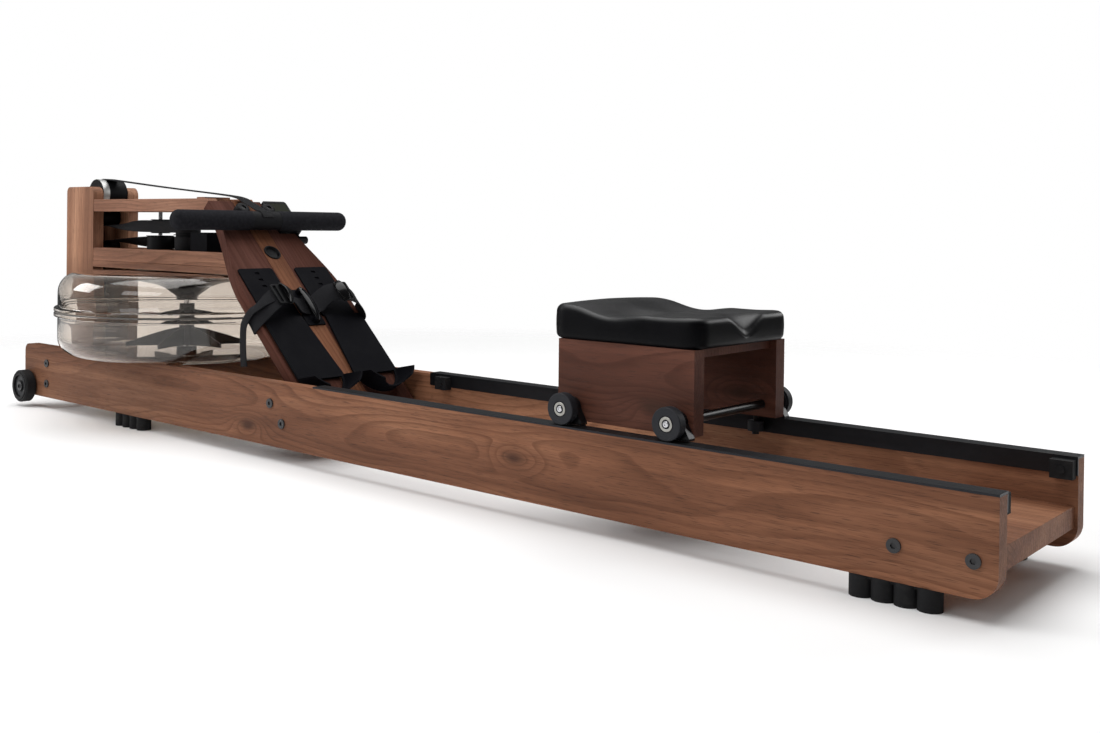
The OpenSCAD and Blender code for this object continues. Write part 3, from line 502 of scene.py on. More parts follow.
def eased(node_name, width, look, slot, segments=2):
    """Stands for a CAD node, with its sharp edges rounded over."""
    mesh = NODES[node_name].data.copy()
    shape = bmesh.new()
    shape.from_mesh(mesh)
    bmesh.ops.remove_doubles(shape, verts=shape.verts, dist=2e-6)
    bmesh.ops.dissolve_limit(shape, angle_limit=math.radians(0.6), verts=shape.verts, edges=shape.edges)
    keen = [e for e in shape.edges
            if len(e.link_faces) == 2 and e.calc_face_angle() > math.radians(SHARPEST)]
    bmesh.ops.bevel(shape, geom=keen, offset=width, offset_type="OFFSET", segments=segments,
                    profile=0.5, affect="EDGES", clamp_overlap=True)
    bmesh.ops.recalc_face_normals(shape, faces=shape.faces)
    shape.to_mesh(mesh)
    shape.free()
    piece = finish_piece(node_name + "_piece", mesh, look, node_body(node_name), slot, sharp=40)
    even = piece.modifiers.new("even_normals", "WEIGHTED_NORMAL")
    even.keep_sharp = True
    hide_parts(node_name)
    return piece


# ---------- wood ----------

WOOD = {
    "rail_left": "rail_left", "rail_right": "rail_right", "rear_spacer": "plank",
    "front_crossmember": "plank", "footboard_block": "plank", "post_boards": "post",
    "deck_beams": "beam", "deck_plate": "beam", "deck_spacers": "beam", "footboard": "board", "seat_boards": "seat",
}
WOOD_EDGE = 1.8 * MM

for node_name, look_name in WOOD.items():
    eased(node_name, WOOD_EDGE, look_name, "walnut", segments=3)
dress(NODES["footboard_insert"], "strip")

# moulded and machined parts, with the width their edges are rounded to
MOULDED = {
    "foot_plates": (0.7, "plate", "black_plastic"), "heel_plate_left": (0.9, "plate", "black_plastic"),
    "heel_plate_right": (0.9, "plate", "black_plastic"), "sensor_box": (1.6, "plate", "black_plastic"),
    "monitor_body": (1.4, "black", "black_plastic"), "track_stops": (1.6, "rubber", "rubber"),
    "transport_wheel_left": (0.9, "tyre", "tyre"), "transport_wheel_right": (0.9, "tyre", "tyre"),
    "tank_plug": (0.9, "black", "black_plastic"),
}
for node_name, (width, look_name, slot_name) in MOULDED.items():
    eased(node_name, width * MM, look_name, slot_name)

# ---------- places taken from the frame ----------


def joint(name):
    return next(j for j in frame["joints"] if j["name"] == name)


SLOPE_UP = Vector(joint("heel_plate_right_slide")["axis"]).normalized()
SLOPE_OUT = Vector((SLOPE_UP.z, 0, -SLOPE_UP.x))
ACROSS = Vector((0, 1, 0))
FOOT_PLATE_START = 91 * MM
FOOT_PLATE_T = 3 * MM
plate_low, plate_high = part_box("foot_plates")
BOARD_ORIGIN = (Vector((plate_low.x, 0, plate_high.z - FOOT_PLATE_T * SLOPE_OUT.z))
                + SLOPE_UP * FOOT_PLATE_START)


def on_board(s, y, h):
    """A point given by its distance down the footboard, across it and above its face, in millimetres."""
    return BOARD_ORIGIN - SLOPE_UP * (s * MM) + ACROSS * (y * MM) + SLOPE_OUT * (h * MM)


def middle(node_name):
    low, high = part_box(node_name)
    return (low + high) / 2


# ---------- shapes ----------

# half the height of a strap's upright edge, as a part of its thickness
RIBBON_EDGE = 0.35


def eased_step(t):
    t = min(1.0, max(0.0, t))
    return t * t * (3 - 2 * t)


def through(points, steps):
    """Points on a smooth curve through the given ones."""
    points = [Vector(p) for p in points]
    ends = [points[0] * 2 - points[1], *points, points[-1] * 2 - points[-2]]
    curve = []
    for i in range(1, len(ends) - 2):
        a, b, c, d = ends[i - 1:i + 3]
        for k in range(steps):
            t = k / steps
            curve.append(0.5 * (2 * b + (c - a) * t + (2 * a - 5 * b + 4 * c - d) * t * t
                                + (3 * b - a - 3 * c + d) * t ** 3))
    return curve + [points[-1]]


def ribbon(name, path, across, width, thick, look, body, slot):
    """A flat strap along a path. across is one direction, or one for each point."""
    count = len(path)
    sides = across if isinstance(across, list) else [across] * count
    edge_in = RIBBON_EDGE * thick
    bevel = 1 - 2 * edge_in / width
    section = [(-1, -edge_in), (-1, edge_in), (-bevel, thick / 2), (0, thick / 2), (bevel, thick / 2),
               (1, edge_in), (1, -edge_in), (bevel, -thick / 2), (0, -thick / 2), (-bevel, -thick / 2)]
    points, travelled, far = [], [], 0.0
    for i, p in enumerate(path):
        ahead = (path[min(i + 1, count - 1)] - path[max(i - 1, 0)]).normalized()
        side = (sides[i] - ahead * sides[i].dot(ahead)).normalized()
        up = ahead.cross(side)
        far += (path[i] - path[i - 1]).length if i else 0.0
        travelled.append(far)
        points += [p + side * (a * width / 2) + up * b for a, b in section]
    n = len(section)
    mesh = mesh_of(name, points, rings_joined(count, n))
    layer = mesh.uv_layers.new(name="strap")
    for loop in mesh.loops:
        i, k = divmod(loop.vertex_index, n)
        layer.data[loop.index].uv = (travelled[i], section[k][0] * width / 2)
    turn_outward(mesh)
    return finish_piece(name, mesh, look, body, slot, sharp=50)


def turn_outward(mesh):
    shape = bmesh.new()
    shape.from_mesh(mesh)
    bmesh.ops.recalc_face_normals(shape, faces=shape.faces)
    shape.to_mesh(mesh)
    shape.free()


def turned(name, profile, centre, axis, look, body, slot, steps=72):
    """A closed outline of (radius, height) turned about an axis through centre."""
    axis = Vector(axis).normalized()
    one = axis.orthogonal().normalized()
    two = axis.cross(one)
    points = []
    for k in range(steps):
        angle = 2 * math.pi * k / steps
        out = one * math.cos(angle) + two * math.sin(angle)
        points += [centre + out * (r * MM) + axis * (h * MM) for r, h in profile]
    n = len(profile)
    faces = [(k * n + i, k * n + (i + 1) % n, (k + 1) % steps * n + (i + 1) % n, (k + 1) % steps * n + i)
             for k in range(steps) for i in range(n)]
    mesh = mesh_of(name, points, faces)
    shape = bmesh.new()
    shape.from_mesh(mesh)
    bmesh.ops.remove_doubles(shape, verts=shape.verts, dist=1e-7)
    bmesh.ops.dissolve_degenerate(shape, edges=shape.edges, dist=1e-7)
    bmesh.ops.recalc_face_normals(shape, faces=shape.faces)
    shape.to_mesh(mesh)
    shape.free()
    return finish_piece(name, mesh, look, body, slot, sharp=32)


def slab(name, outline, thick, frame_at, look, body, slot, ease=0.8, holes=()):
    """An outline (in mm) pushed out to a thickness, its edges rounded over. frame_at puts it in place."""
    shape = bmesh.new()
    loops = []
    for ring in (outline, *holes):
        verts = [shape.verts.new((x * MM, y * MM, 0)) for x, y in ring]
        loops += [shape.edges.new((verts[i], verts[(i + 1) % len(verts)])) for i in range(len(verts))]
    bmesh.ops.triangle_fill(shape, edges=loops, use_beauty=True)
    bmesh.ops.dissolve_limit(shape, angle_limit=0.01, verts=shape.verts, edges=shape.edges)
    pushed = bmesh.ops.extrude_face_region(shape, geom=list(shape.faces))
    top = [g for g in pushed["geom"] if isinstance(g, bmesh.types.BMVert)]
    bmesh.ops.translate(shape, verts=top, vec=(0, 0, thick * MM))
    bmesh.ops.recalc_face_normals(shape, faces=shape.faces)
    keen = [e for e in shape.edges if len(e.link_faces) == 2 and e.calc_face_angle() > math.radians(60)]
    bmesh.ops.bevel(shape, geom=keen, offset=ease * MM, offset_type="OFFSET", segments=3,
                    profile=0.5, affect="EDGES", clamp_overlap=True)
    mesh = bpy.data.meshes.new(name)
    shape.to_mesh(mesh)
    shape.free()
    mesh.transform(frame_at)
    return finish_piece(name, mesh, look, body, slot, sharp=45)


def board_frame(s, y, h):
    """Where x runs down the footboard, y across it and z out of it."""
    turn = Matrix((-SLOPE_UP, ACROSS, SLOPE_OUT)).transposed().to_4x4()
    return Matrix.Translation(on_board(s, y, h)) @ turn


def round_box(x0, y0, x1, y1, r, steps=6):
    """The outline of a rectangle with round corners."""
    outline = []
    corners = ((x1 - r, y1 - r), (x0 + r, y1 - r), (x0 + r, y0 + r), (x1 - r, y0 + r))
    for start, (cx, cy) in zip((0, 90, 180, 270), corners):
        for k in range(steps + 1):
            angle = math.radians(start + 90 * k / steps)
            outline.append((cx + r * math.cos(angle), cy + r * math.sin(angle)))
    return outline


# ---------- the seat pad ----------

# how high the pad's sides stand above its base, from its front edge to its back (mm)
PAD_SIDE = [(0, 44), (14, 46.5), (31, 46), (48, 43.6), (65, 39.4), (82, 35.6), (98, 33.8), (114, 34.3),
            (130, 36.6), (149, 38.8), (167, 38.6), (191, 38.4), (221, 39.4), (238, 39)]
PAD_CORNER = 26
PAD_TOP_EDGE = 9
PAD_BASE_EDGE = 8
# the crowned front: how much higher its middle is than its sides
CROWN_RISE = 3.2
# the two bowls for the rower's sit bones, and the low ridge between them
BOWL_DEPTH = 5.5
BOWL_X, BOWL_Y = 128, 54
RIDGE_RISE = 2.5
RIDGE_X = 120
# the valley that opens to the pad's back
NOTCH_START = 186
NOTCH_END = 252
NOTCH_DEPTH = 22 * 1.08
NOTCH_HALF = 41
NOTCH_SOFT = 4.0


def between_points(table, x):
    """A smooth value between the points of a table."""
    for i in range(len(table) - 1):
        (x0, y0), (x1, y1) = table[i], table[i + 1]
        if x <= x1 or i == len(table) - 2:
            before = table[max(i - 1, 0)]
            after = table[min(i + 2, len(table) - 1)]
            t = min(1.0, max(0.0, (x - x0) / (x1 - x0)))
            slope0 = (y1 - before[1]) / (x1 - before[0]) * (x1 - x0)
            slope1 = (after[1] - y0) / (after[0] - x0) * (x1 - x0)
            return ((2 * t ** 3 - 3 * t * t + 1) * y0 + (t ** 3 - 2 * t * t + t) * slope0
                    + (3 * t * t - 2 * t ** 3) * y1 + (t ** 3 - t * t) * slope1)


def pad_height(x, y, half):
    """Height of the pad's top above its base, x from its front edge and y from its middle line."""
    height = between_points(PAD_SIDE, x)
    crown = CROWN_RISE * (1 - eased_step((x - 35) / 45)) * (1 - (y / half) ** 2)
    bowl = BOWL_DEPTH * math.exp(-((x - BOWL_X) / 52) ** 2) * math.exp(-((abs(y) - BOWL_Y) / 34) ** 2)
    ridge = RIDGE_RISE * math.exp(-((x - RIDGE_X) / 60) ** 2) * math.exp(-(y / 18) ** 2)
    deep = NOTCH_DEPTH * eased_step((x - NOTCH_START) / (NOTCH_END - NOTCH_START))
    rounded = math.hypot(y, NOTCH_SOFT) - NOTCH_SOFT
    valley = max(0.0, 1 - rounded / NOTCH_HALF)
    valley = valley - 0.18 * math.sin(math.pi * valley) * (1 - valley)
    return height + crown + ridge - bowl - deep * valley


def add_seat_pad():
    low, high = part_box("seat_pad")
    length, width = (high.x - low.x) / MM, (high.y - low.y) / MM
    half_l, half_w = length / 2, width / 2
    around = 200
    rings = []

    def outline(inset, shrink=1.0):
        """Points round the pad, a distance in from its sides."""
        a, b = (half_l - inset), (half_w - inset)
        r = max(PAD_CORNER - inset, 6.0)
        straight = [2 * (b - r), 2 * (a - r), 2 * (b - r), 2 * (a - r)]
        arc = math.pi * r / 2
        total = sum(straight) + 4 * arc
        starts = [(a, -(b - r)), (a - r, b), (-a, b - r), (-(a - r), -b)]
        ways = [(0, 1), (-1, 0), (0, -1), (1, 0)]
        made = []
        for k in range(around):
            d = total * k / around
            side = 0
            while side < 4 and d > straight[side] + arc:
                d -= straight[side] + arc
                side += 1
            side %= 4
            (sx, sy), (wx, wy), run = starts[side], ways[side], straight[side]
            if d <= run:
                x, y = sx + wx * d, sy + wy * d
            else:
                ex, ey = sx + wx * run, sy + wy * run
                cx, cy = ex - wy * r, ey + wx * r
                turn = (d - run) / r
                ox, oy = ex - cx, ey - cy
                x = cx + ox * math.cos(turn) - oy * math.sin(turn)
                y = cy + ox * math.sin(turn) + oy * math.cos(turn)
            made.append((x * shrink, y * shrink))
        return made

    base_steps, edge_steps, top_rings = 5, 6, 34
    for shrink in (0.02, 0.5, 0.9):
        rings.append([(x, y, 0.0) for x, y in outline(PAD_BASE_EDGE, shrink)])
    for k in range(base_steps + 1):
        angle = math.pi / 2 * k / base_steps
        inset = PAD_BASE_EDGE * (1 - math.sin(angle))
        rings.append([(x, y, PAD_BASE_EDGE * (1 - math.cos(angle))) for x, y in outline(inset)])
    for part in (0.35, 0.65, 0.9):
        ring = []
        for x, y in outline(-0.6 * math.sin(math.pi * part)):
            top = pad_height(x + half_l, y, half_w) - PAD_TOP_EDGE
            ring.append((x, y, PAD_BASE_EDGE + (top - PAD_BASE_EDGE) * part))
        rings.append(ring)
    for k in range(edge_steps + 1):
        angle = math.pi / 2 * k / edge_steps
        inset = PAD_TOP_EDGE * (1 - math.cos(angle))
        drop = PAD_TOP_EDGE * (1 - math.sin(angle))
        rings.append([(x, y, pad_height(x + half_l, y, half_w) - drop) for x, y in outline(inset)])
    for k in range(1, top_rings):
        shrink = 1 - k / top_rings
        rings.append([(x, y, pad_height(x + half_l, y, half_w)) for x, y in outline(PAD_TOP_EDGE, shrink)])

    centre = Vector(((low.x + high.x) / 2, (low.y + high.y) / 2, low.z))
    points = [centre + Vector(p) * MM for ring in rings for p in ring]
    faces = rings_joined(len(rings), around, capped=False)
    points += [centre, centre + Vector((0, 0, pad_height(half_l, 0, half_w) * MM))]
    last = (len(rings) - 1) * around
    faces += [(len(points) - 2, (k + 1) % around, k) for k in range(around)]
    faces += [(len(points) - 1, last + k, last + (k + 1) % around) for k in range(around)]
    mesh = mesh_of("seat_pad_piece", points, faces)
    turn_outward(mesh)
    pad = finish_piece("seat_pad_piece", mesh, "skin", "seat", "seat_skin", sharp=70)
    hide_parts("seat_pad")


add_seat_pad()

# ---------- belts ----------

BELT_W = 25 * MM
BELT_T = 1.6 * MM
BELT_LIFT = 1.1 * MM


def arc_points(centre, radius, first, last, steps, level=False):
    """Points round a centre, in the upright plane or level."""
    made = []
    for k in range(steps + 1):
        angle = math.radians(first + (last - first) * k / steps)
        out = (math.cos(angle), math.sin(angle), 0) if level else (math.cos(angle), 0, math.sin(angle))
        made.append(centre + Vector(out) * radius)
    return made


def radius_of(node_name, axis, rim=0.0):
    low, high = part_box(node_name)
    return (high - low)[axis] / 2 - rim


TOP_PULLEY = middle("top_pulley")
TOP_RADIUS = radius_of("top_pulley", 0) + BELT_LIFT
GUIDE_RIM = 4 * MM
IDLER_RIM = 2 * MM
DRUM_RIM = 4 * MM
# how far each belt is wound round the spool, in degrees
WOUND = 330
SPOOL = middle("drive_spool")
DRUM_RADIUS = radius_of("drive_spool", 0, DRUM_RIM) + BELT_LIFT


def twisted_run(start, end, turn_from, turn_to, steps=40):
    """A level run whose belt turns from lying flat to standing on edge."""
    path, sides = [], []
    for k in range(1, steps):
        f = k / steps
        soft = eased_step(f)
        path.append(Vector((start.x + (end.x - start.x) * f, start.y + (end.y - start.y) * soft, start.z)))
        angle = math.radians(turn_from + (turn_to - turn_from) * soft)
        sides.append(Vector((0, math.cos(angle), math.sin(angle))))
    return path, sides


def add_post_belt(name, guide, idler, side, down_from):
    """A belt down or up the post, round its guide roller, past its idler and round the spool.
    side is -1 for the belt that runs in under its roller and +1 for the one that runs over it."""
    guide_at, idler_at = middle(guide), middle(idler)
    guide_r = radius_of(guide, 0, GUIDE_RIM) + BELT_LIFT
    idler_r = radius_of(idler, 0, IDLER_RIM) + BELT_LIFT
    path = list(down_from) + arc_points(guide_at, guide_r, 180, 270 if side < 0 else 90, 16)
    flat = [ACROSS] * len(path)
    start = path[-1] + Vector((4 * MM, 0, 0))
    end = Vector((idler_at.x, side * idler_r, path[-1].z))
    run, run_sides = twisted_run(start, end, 0, 90 * -side)
    spool_at = Vector((SPOOL.x, 0, path[-1].z))
    wound = arc_points(spool_at, DRUM_RADIUS, 90 * side, (90 - WOUND) * side, 48, level=True)
    path = path + run + [end] + wound
    upright = Vector((0, 0, -side))
    sides = flat + run_sides + [upright] * (1 + len(wound))
    return ribbon(name, path, sides, BELT_W, BELT_T, "belt", "root", "webbing")


over_pulley = arc_points(TOP_PULLEY, TOP_RADIUS, 88, 180, 24)
drive_lower = add_post_belt("drive_belt", "drive_guide_roller", "drive_idler", -1, over_pulley)

handle_low, handle_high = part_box("handle_core")
HANDLE = middle("handle_core")
SLEEVE_R = (handle_high.z - handle_low.z) / 2
# where the strap passes over the deck and the footboard's edge, forward of the handle and above it (mm)
STRAP_OVER_DECK = [(-341, 68), (-131, 50.5), (-73, 43.5), (-46, 34), (-4, SLEEVE_R / MM + 0.8)]
strap_run = through([over_pulley[0]] + [HANDLE + Vector((x, 0, z)) * MM for x, z in STRAP_OVER_DECK], 14)
strap_run = strap_run + arc_points(HANDLE, SLEEVE_R + 0.0009, 100, 20, 10)[1:]
handle_strap = ribbon("handle_strap", strap_run, ACROSS, BELT_W, BELT_T, "belt", None, "webbing")
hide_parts("drive_strap")
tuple(over_pulley[0])
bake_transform(handle_strap)

# the bright sleeve on the end of the top pulley
SLEEVE_LONG = 15
pulley_r = radius_of("top_pulley", 0) / MM
turned("pulley_sleeve", [(pulley_r - 1, 0), (pulley_r + 0.2, 0), (pulley_r + 0.3, 0.6),
                         (pulley_r + 0.3, SLEEVE_LONG - 0.6), (pulley_r + 0.2, SLEEVE_LONG),
                         (pulley_r - 1, SLEEVE_LONG)],
       Vector((TOP_PULLEY.x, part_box("top_pulley")[0].y, TOP_PULLEY.z)), ACROSS, "roller",
       "top_pulley", "roller_alloy")
joiner_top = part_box("recoil_belt")[0].z
up_post = [Vector((TOP_PULLEY.x - TOP_RADIUS, 0, joiner_top + k * 6 * MM)) for k in range(12)]
recoil = add_post_belt("recoil_belt_piece", "recoil_guide_roller", "recoil_idler", 1, up_post)
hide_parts("recoil_belt")

# ---------- the tank ----------

TANK_WALL = 4.0
TANK_LIP = 7.0
TANK_FLANGE = 7.5
SHAFT_HOLE = 20.2
UPPER_EDGE = 40
LOWER_EDGE = 38


def arc(cx, cy, r, first, last, steps=14):
    return [(cx + r * math.cos(math.radians(first + (last - first) * k / steps)),
             cy + r * math.sin(math.radians(first + (last - first) * k / steps))) for k in range(steps + 1)]


def add_tank_shell(node_name, edge, way, hole):
    """One half of the tank: a rim flange, a straight wall and an end rounded by edge. way is +1 up
    or -1 down, and hole is the radius of the hole in the end."""
    low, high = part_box(node_name)
    rim, height = (high.x - low.x) / 2 / MM, (high.z - low.z) / MM
    wall = rim - TANK_LIP
    outside = [(wall - TANK_WALL, 0), (rim - 0.8, 0), (rim, 0.8), (rim, TANK_FLANGE - 1.6),
               (rim - 1.6, TANK_FLANGE), (wall + 2.4, TANK_FLANGE), (wall + 0.7, TANK_FLANGE + 0.7),
               (wall, TANK_FLANGE + 2.4)]
    outside += arc(wall - edge, height - edge, edge, 0, 90)
    inside = arc(wall - edge, height - edge, edge - TANK_WALL, 90, 0)
    outline = outside + [(hole, height), (hole, height - TANK_WALL)] + inside
    centre = Vector(((low.x + high.x) / 2, (low.y + high.y) / 2, low.z if way > 0 else high.z))
    shell = turned(node_name + "_shell", outline, centre, (0, 0, way), "clear", "root", "clear_shell",
                   steps=160)
    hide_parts(node_name)


def add_splash_cone():
    """The dark cone that hangs from the tank's top round the shaft."""
    low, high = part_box("tank_upper")
    top = Vector(((low.x + high.x) / 2, (low.y + high.y) / 2, high.z - TANK_WALL * MM))
    outer = [(104, -0.4), (96, -3.2), (84, -7.4), (70, -12.0), (56, -17.5), (45, -24.5), (36, -33), (28, -40),
             (22.5, -45), (20.4, -49), (20.4, -51.4), (21.6, -51.8), (21.6, -53.6), (20.4, -54)]
    inner = [(17.4, -54), (17.4, -47), (24, -41), (32, -33), (41, -22.5), (53, -14.4), (68, -8.6),
             (83, -3.6), (93, -0.4)]
    cone = turned("splash_cone", outer + inner, top, (0, 0, 1), "cone", "root", "paddle_plastic", steps=96)
    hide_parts("tank_upper")


add_tank_shell("tank_upper", UPPER_EDGE, 1, SHAFT_HOLE)
add_tank_shell("tank_lower", LOWER_EDGE, -1, 0.0)
add_splash_cone()

# ---------- foot straps, buckles and the other fittings of the footboard ----------

# a foot strap's centre line: (down the board, across it, above it), from the middle plate to the board's back
STRAP_ROUTE = [(192, 2, 6), (191, 12, 6.5), (188, 22, 9), (183, 32, 16), (180, 44, 25), (181, 56, 31),
               (185, 72, 33), (192, 88, 31), (199, 101, 25), (205, 111, 16), (208, 118, 6),
               (208, 120, -4), (206, 120, -16), (204, 117, -24), (203, 104, -24.5)]
STRAP_W = 38 * MM
STRAP_T = 2.0 * MM
BUCKLE_AT = (186, 72, 35.5)
BUCKLE_W, BUCKLE_L = 46, 30
TAIL_W = 17 * MM
# the strap's loose end: over the board's edge (in the board's own places), then hanging (back and height)
TAIL_OVER = ((190, -92, 31.5), (193, -108, 24), (195, -119, 12), (194, -124, 0))
TAIL_DOWN = ((0.010, 0.222), (0.013, 0.196), (0.012, 0.170), (0.009, 0.1475))
# the foot plates' slots: how far down the board, and how far from its middle line
SLOT_PLACES = (104, 120, 136)
SLOT_Y = 64.5
SIDES = ((-1, "left"), (1, "right"))


def blade(name, path, across, widths, thicks, look, body, slot, around=20, power=2.4):
    """A bar with a rounded section whose width and thickness change along its path."""
    points = []
    count = len(path)
    for i, p in enumerate(path):
        ahead = (path[min(i + 1, count - 1)] - path[max(i - 1, 0)]).normalized()
        side = (across - ahead * across.dot(ahead)).normalized()
        up = ahead.cross(side)
        for k in range(around):
            angle = 2 * math.pi * k / around
            c, d = math.cos(angle), math.sin(angle)
            x = math.copysign(abs(c) ** (2 / power), c) * widths[i] / 2
            z = math.copysign(abs(d) ** (2 / power), d) * thicks[i] / 2
            points.append(p + side * (x * MM) + up * (z * MM))
    mesh = mesh_of(name, points, rings_joined(count, around))
    turn_outward(mesh)
    return finish_piece(name, mesh, look, body, slot, sharp=50)


def bowed(name, steps, place, widest, thickest, across, power=2.4):
    """A glossy bar that swells to its middle. place gives its line from t (0 to 1) and the swelling."""
    path, widths, thicks = [], [], []
    for k in range(steps + 1):
        t = k / steps
        bow = math.sin(math.pi * t)
        path.append(place(t, bow))
        widths.append(widest(bow))
        thicks.append(thickest(bow))
    return blade(name, path, across, widths, thicks, "gloss", "root", "gloss_black", power=power)


def add_foot_strap(side, word):
    route = through([on_board(s, side * y, h) for s, y, h in STRAP_ROUTE], 8)
    strap = ribbon("foot_strap_" + word, route, -SLOPE_UP, STRAP_W, STRAP_T, "webbing", "root", "webbing")
    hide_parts("foot_straps")


def add_buckle(side, word):
    """A cam buckle: a frame with two slots, and its curved lever."""
    s, y, h = BUCKLE_AT
    outline = round_box(-BUCKLE_W / 2, -BUCKLE_L / 2, BUCKLE_W / 2, BUCKLE_L / 2, 4)
    slots = [round_box(-19, low, 19, low + 6.5, 2, 3) for low in (-11.5, 4.5)]
    base = slab("buckle_frame_" + word, outline, 3.4, board_frame(s, side * y, h - 1.2), "black", "root",
                "gloss_black", ease=1.1, holes=slots)
    lever = bowed("buckle_lever_" + word, 18, lambda t, bow: on_board(
        s + BUCKLE_W * (t - 0.5), side * (y - 5 - 7 * bow), h + 4.5 + 4.0 * bow),
        lambda bow: 6 + 13 * bow ** 0.7, lambda bow: 2.2 + 2.6 * bow,
        (ACROSS * side + SLOPE_OUT * 0.5).normalized())
    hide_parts("strap_buckles")
    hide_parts("strap_buckles")


def add_strap_tail():
    """The loose end of the left strap, hanging from the board's edge."""
    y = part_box("foot_straps")[0].y + STRAP_T
    x = on_board(188, 0, 0).x
    path = through([on_board(*p) for p in TAIL_OVER] + [Vector((x - back, y, z)) for back, z in TAIL_DOWN], 8)
    sides = []
    for i in range(len(path)):
        f = eased_step(i / (len(path) - 1) * 2.0)
        sides.append((-SLOPE_UP * (1 - f) + Vector((1, 0, 0)) * f).normalized())
    tail = ribbon("strap_tail", path, sides, TAIL_W, STRAP_T, "webbing", "root", "webbing")
    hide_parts("foot_straps")


def add_anchor():
    """The middle plate, its glossy loop on two posts, and the round cap in the board's finger hole."""
    plate = slab("anchor_plate", round_box(0, -20.5, 87, 20.5, 3), 3, board_frame(147, 0, 0), "plate",
                 "root", "black_plastic", ease=0.9)
    loop = bowed("anchor_loop", 26, lambda t, bow: on_board(150.5 + 81 * t, 0, 12.5 + 4.2 * bow),
                 lambda bow: 3 + 15 * bow ** 0.55, lambda bow: 2.5 + 5.2 * bow ** 0.6, ACROSS, 2.2)
    groove = [on_board(158 + 5.5 * k, 0, 16.4 + 3.6 * math.sin(math.pi * (k + 1.5) / 15))
              for k in range(13)]
    rib = blade("anchor_rib", groove, ACROSS, [2.4] * 13, [1.6] * 13, "plate", "root", "gloss_black")
    for word, s in (("upper", 156), ("lower", 226)):
        post = slab("anchor_post_" + word, round_box(-5, -6, 5, 6, 2.5), 10, board_frame(s, 0, 2.5),
                    "plate", "root", "black_plastic", ease=0.8)
        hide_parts("strap_anchor")
    cap = turned("finger_hole_cap", [(0, -5), (16.8, -5), (16.8, 0), (16.9, 1.4), (16.2, 2.1),
                                     (15.0, 2.2), (14.2, 1.6), (13.4, -1.0), (12.0, -3.2), (8, -4.2),
                                     (0, -4.4)],
                 on_board(49, 0, 0), SLOPE_OUT, "black", "root", "gloss_black")
    for piece in (plate, loop, rib, cap):
        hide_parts("strap_anchor")


for side, word in SIDES:
    add_foot_strap(side, word)
    add_buckle(side, word)
add_strap_tail()
add_anchor()


def add_peg_rings():
    """A glossy screw washer in the top of each handle rest."""
    for side, word in SIDES:
        turned("rest_washer_" + word, [(0, 0.0), (4.6, 0.0), (4.6, 0.7), (4.2, 1.1), (2.4, 1.1),
                                       (2.0, 0.4), (0, 0.4)],
               on_board(-46.5, side * 29.5, 24.0), SLOPE_OUT, "gloss", "root", "gloss_black")


add_peg_rings()


def add_slot_floors():
    """The dark floors of the foot plates' slots."""
    for side, word in SIDES:
        for n, s in enumerate(SLOT_PLACES):
            outline = round_box(-2.4, -4.4, 2.4, 4.4, 0.5)
            floor = slab(f"slot_floor_{word}_{n}", outline, 0.8, board_frame(s, side * SLOT_Y, 0.05),
                         "plate", "root", "black_plastic", ease=0.2)
            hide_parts("foot_plates")


add_slot_floors()

# ---------- the wheels' bearings and hubs ----------

SEAT_WHEELS = ("seat_wheel_front_left", "seat_wheel_front_right", "seat_wheel_rear_left",
               "seat_wheel_rear_right")


def outer_face(node_name):
    """The middle of a wheel's outer face, and the way it faces."""
    low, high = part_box(node_name)
    centre = (low + high) / 2
    out = 1 if centre.y > 0 else -1
    return Vector((centre.x, high.y if out > 0 else low.y, centre.z)), Vector((0, out, 0))


def add_wheel_details():
    for wheel in SEAT_WHEELS:
        face, out = outer_face(wheel)
        word = wheel.replace("seat_wheel_", "")
        turned("bearing_" + word, [(5.6, -1.0), (9.4, -1.0), (9.4, -0.1), (9.0, 0.25), (6.2, 0.25),
                                   (5.6, -0.2)],
               face, out, "ring", wheel, "bright_steel")
        turned("bearing_seal_" + word, [(4.2, -1.2), (5.6, -1.2), (5.6, -0.5), (4.2, -0.7)],
               face, out, "black", wheel, "black_plastic")
        turned("axle_screw_" + word, [(0, -1.0), (4.0, -1.0), (4.0, 0.4), (3.6, 1.0), (2.1, 1.1),
                                      (1.9, 0.2), (0, 0.2)],
               face, out, "steel", "seat", "bright_steel")
    for wheel in ("transport_wheel_left", "transport_wheel_right"):
        face, out = outer_face(wheel)
        word = wheel.replace("transport_", "")
        turned("hub_ring_" + word, [(11.5, -6.2), (22.4, -6.2), (22.4, -4.8), (21.6, -4.2),
                                    (13.0, -4.4), (12.0, -5.0)],
               face, out, "hub", wheel, "track_wheel")


add_wheel_details()

# ---------- the floor and the lights ----------

FLOOR_HALF = 14.0
# where the floor starts to fade and where it is gone, in metres from the middle
FLOOR_FADES = (1.35, 2.6)
# how strongly the white background lights the object
AMBIENT = 0.10
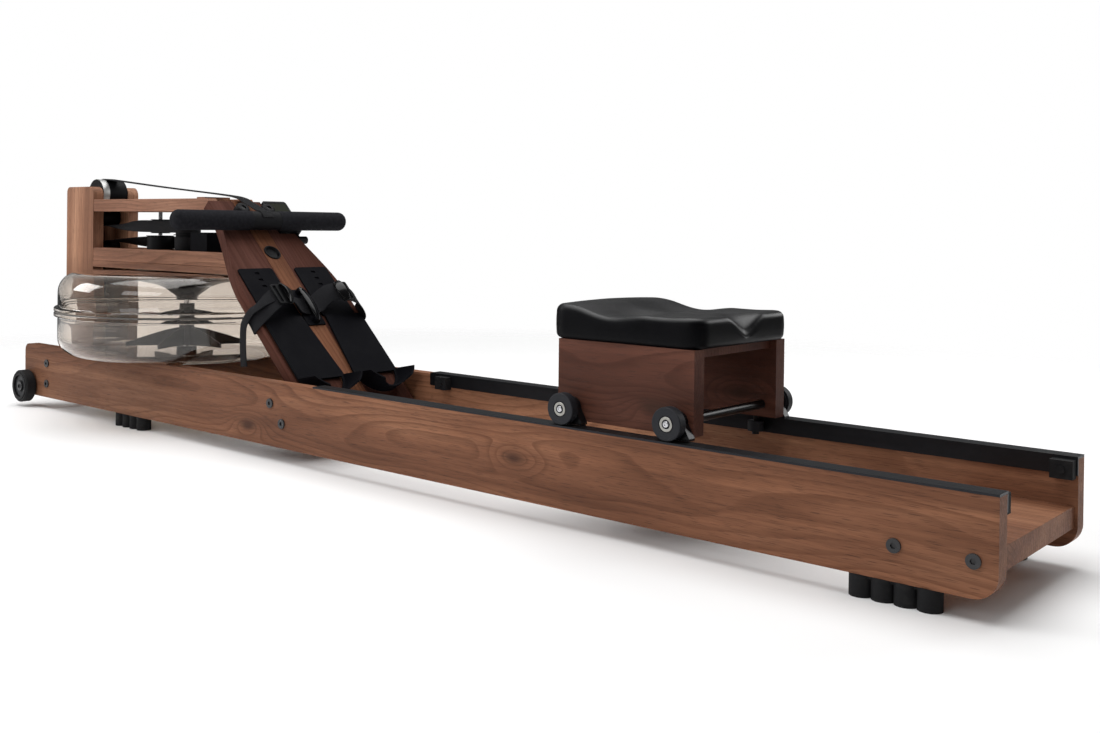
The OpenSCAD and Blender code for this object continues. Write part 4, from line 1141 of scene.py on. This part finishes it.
# the area lights: where each stands, what it aims at, its two sides in metres, and its watts
LIGHTS = {
    "top": ((-0.3, 0.05, 3.4), (0, 0, 0), (5.0, 3.6), 165),
    "left": ((-2.3, -1.5, 1.2), (-0.9, 0, 0.3), (1.1, 1.1), 27),
    "front": ((0.4, -3.4, 1.5), (0.2, 0, 0.1), (2.4, 1.2), 24),
    "back": ((1.5, 3.0, 1.5), (0, 0, 0.3), (2.2, 1.2), 30),
}


def add_floor():
    """A pale sweep that fades into the white background with distance from the object."""
    corners = [(-1, -1), (1, -1), (1, 1), (-1, 1)]
    mesh = mesh_of("floor", [(x * FLOOR_HALF, y * FLOOR_HALF, 0) for x, y in corners], [(0, 1, 2, 3)])
    floor = bpy.data.objects.new("floor", mesh)
    bpy.context.scene.collection.objects.link(floor)
    look = Look("studio_floor", Base_Color=(0.96, 0.96, 0.96), Roughness=0.7)
    look.set("Specular IOR Level", 0.2)
    away = look.vector("LENGTH", look.place())
    look.set("Alpha", look.between(away, *FLOOR_FADES, 1.0, 0.0))
    mesh.materials.append(look.material)


def add_light(name, at, aim, size, watts):
    data = bpy.data.lights.new(name, "AREA")
    data.shape = "RECTANGLE"
    data.size, data.size_y = size
    data.energy = watts
    light = bpy.data.objects.new(name, data)
    bpy.context.scene.collection.objects.link(light)
    light.location = at
    light.rotation_euler = (Vector(aim) - Vector(at)).to_track_quat("-Z", "Y").to_euler()


def add_world():
    """A white background that itself lights the object only a little."""
    world = bpy.data.worlds.new("studio")
    world.use_nodes = True
    tree = world.node_tree
    path = tree.nodes.new("ShaderNodeLightPath")
    seen = tree.nodes.new("ShaderNodeMath")
    seen.operation = "MAXIMUM"
    tree.links.new(path.outputs["Is Camera Ray"], seen.inputs[0])
    tree.links.new(path.outputs["Is Transmission Ray"], seen.inputs[1])
    strength = tree.nodes.new("ShaderNodeMapRange")
    strength.inputs["To Min"].default_value = AMBIENT
    strength.inputs["To Max"].default_value = 1.0
    tree.links.new(seen.outputs[0], strength.inputs["Value"])
    background = tree.nodes["Background"]
    background.inputs["Color"].default_value = (1, 1, 1, 1)
    tree.links.new(strength.outputs[0], background.inputs["Strength"])
    bpy.context.scene.world = world


add_floor()
add_world()
for light_name, settings in LIGHTS.items():
    add_light(light_name, *settings)
bpy.context.scene.view_settings.view_transform = "Standard"

# ---------- finish ----------

import json
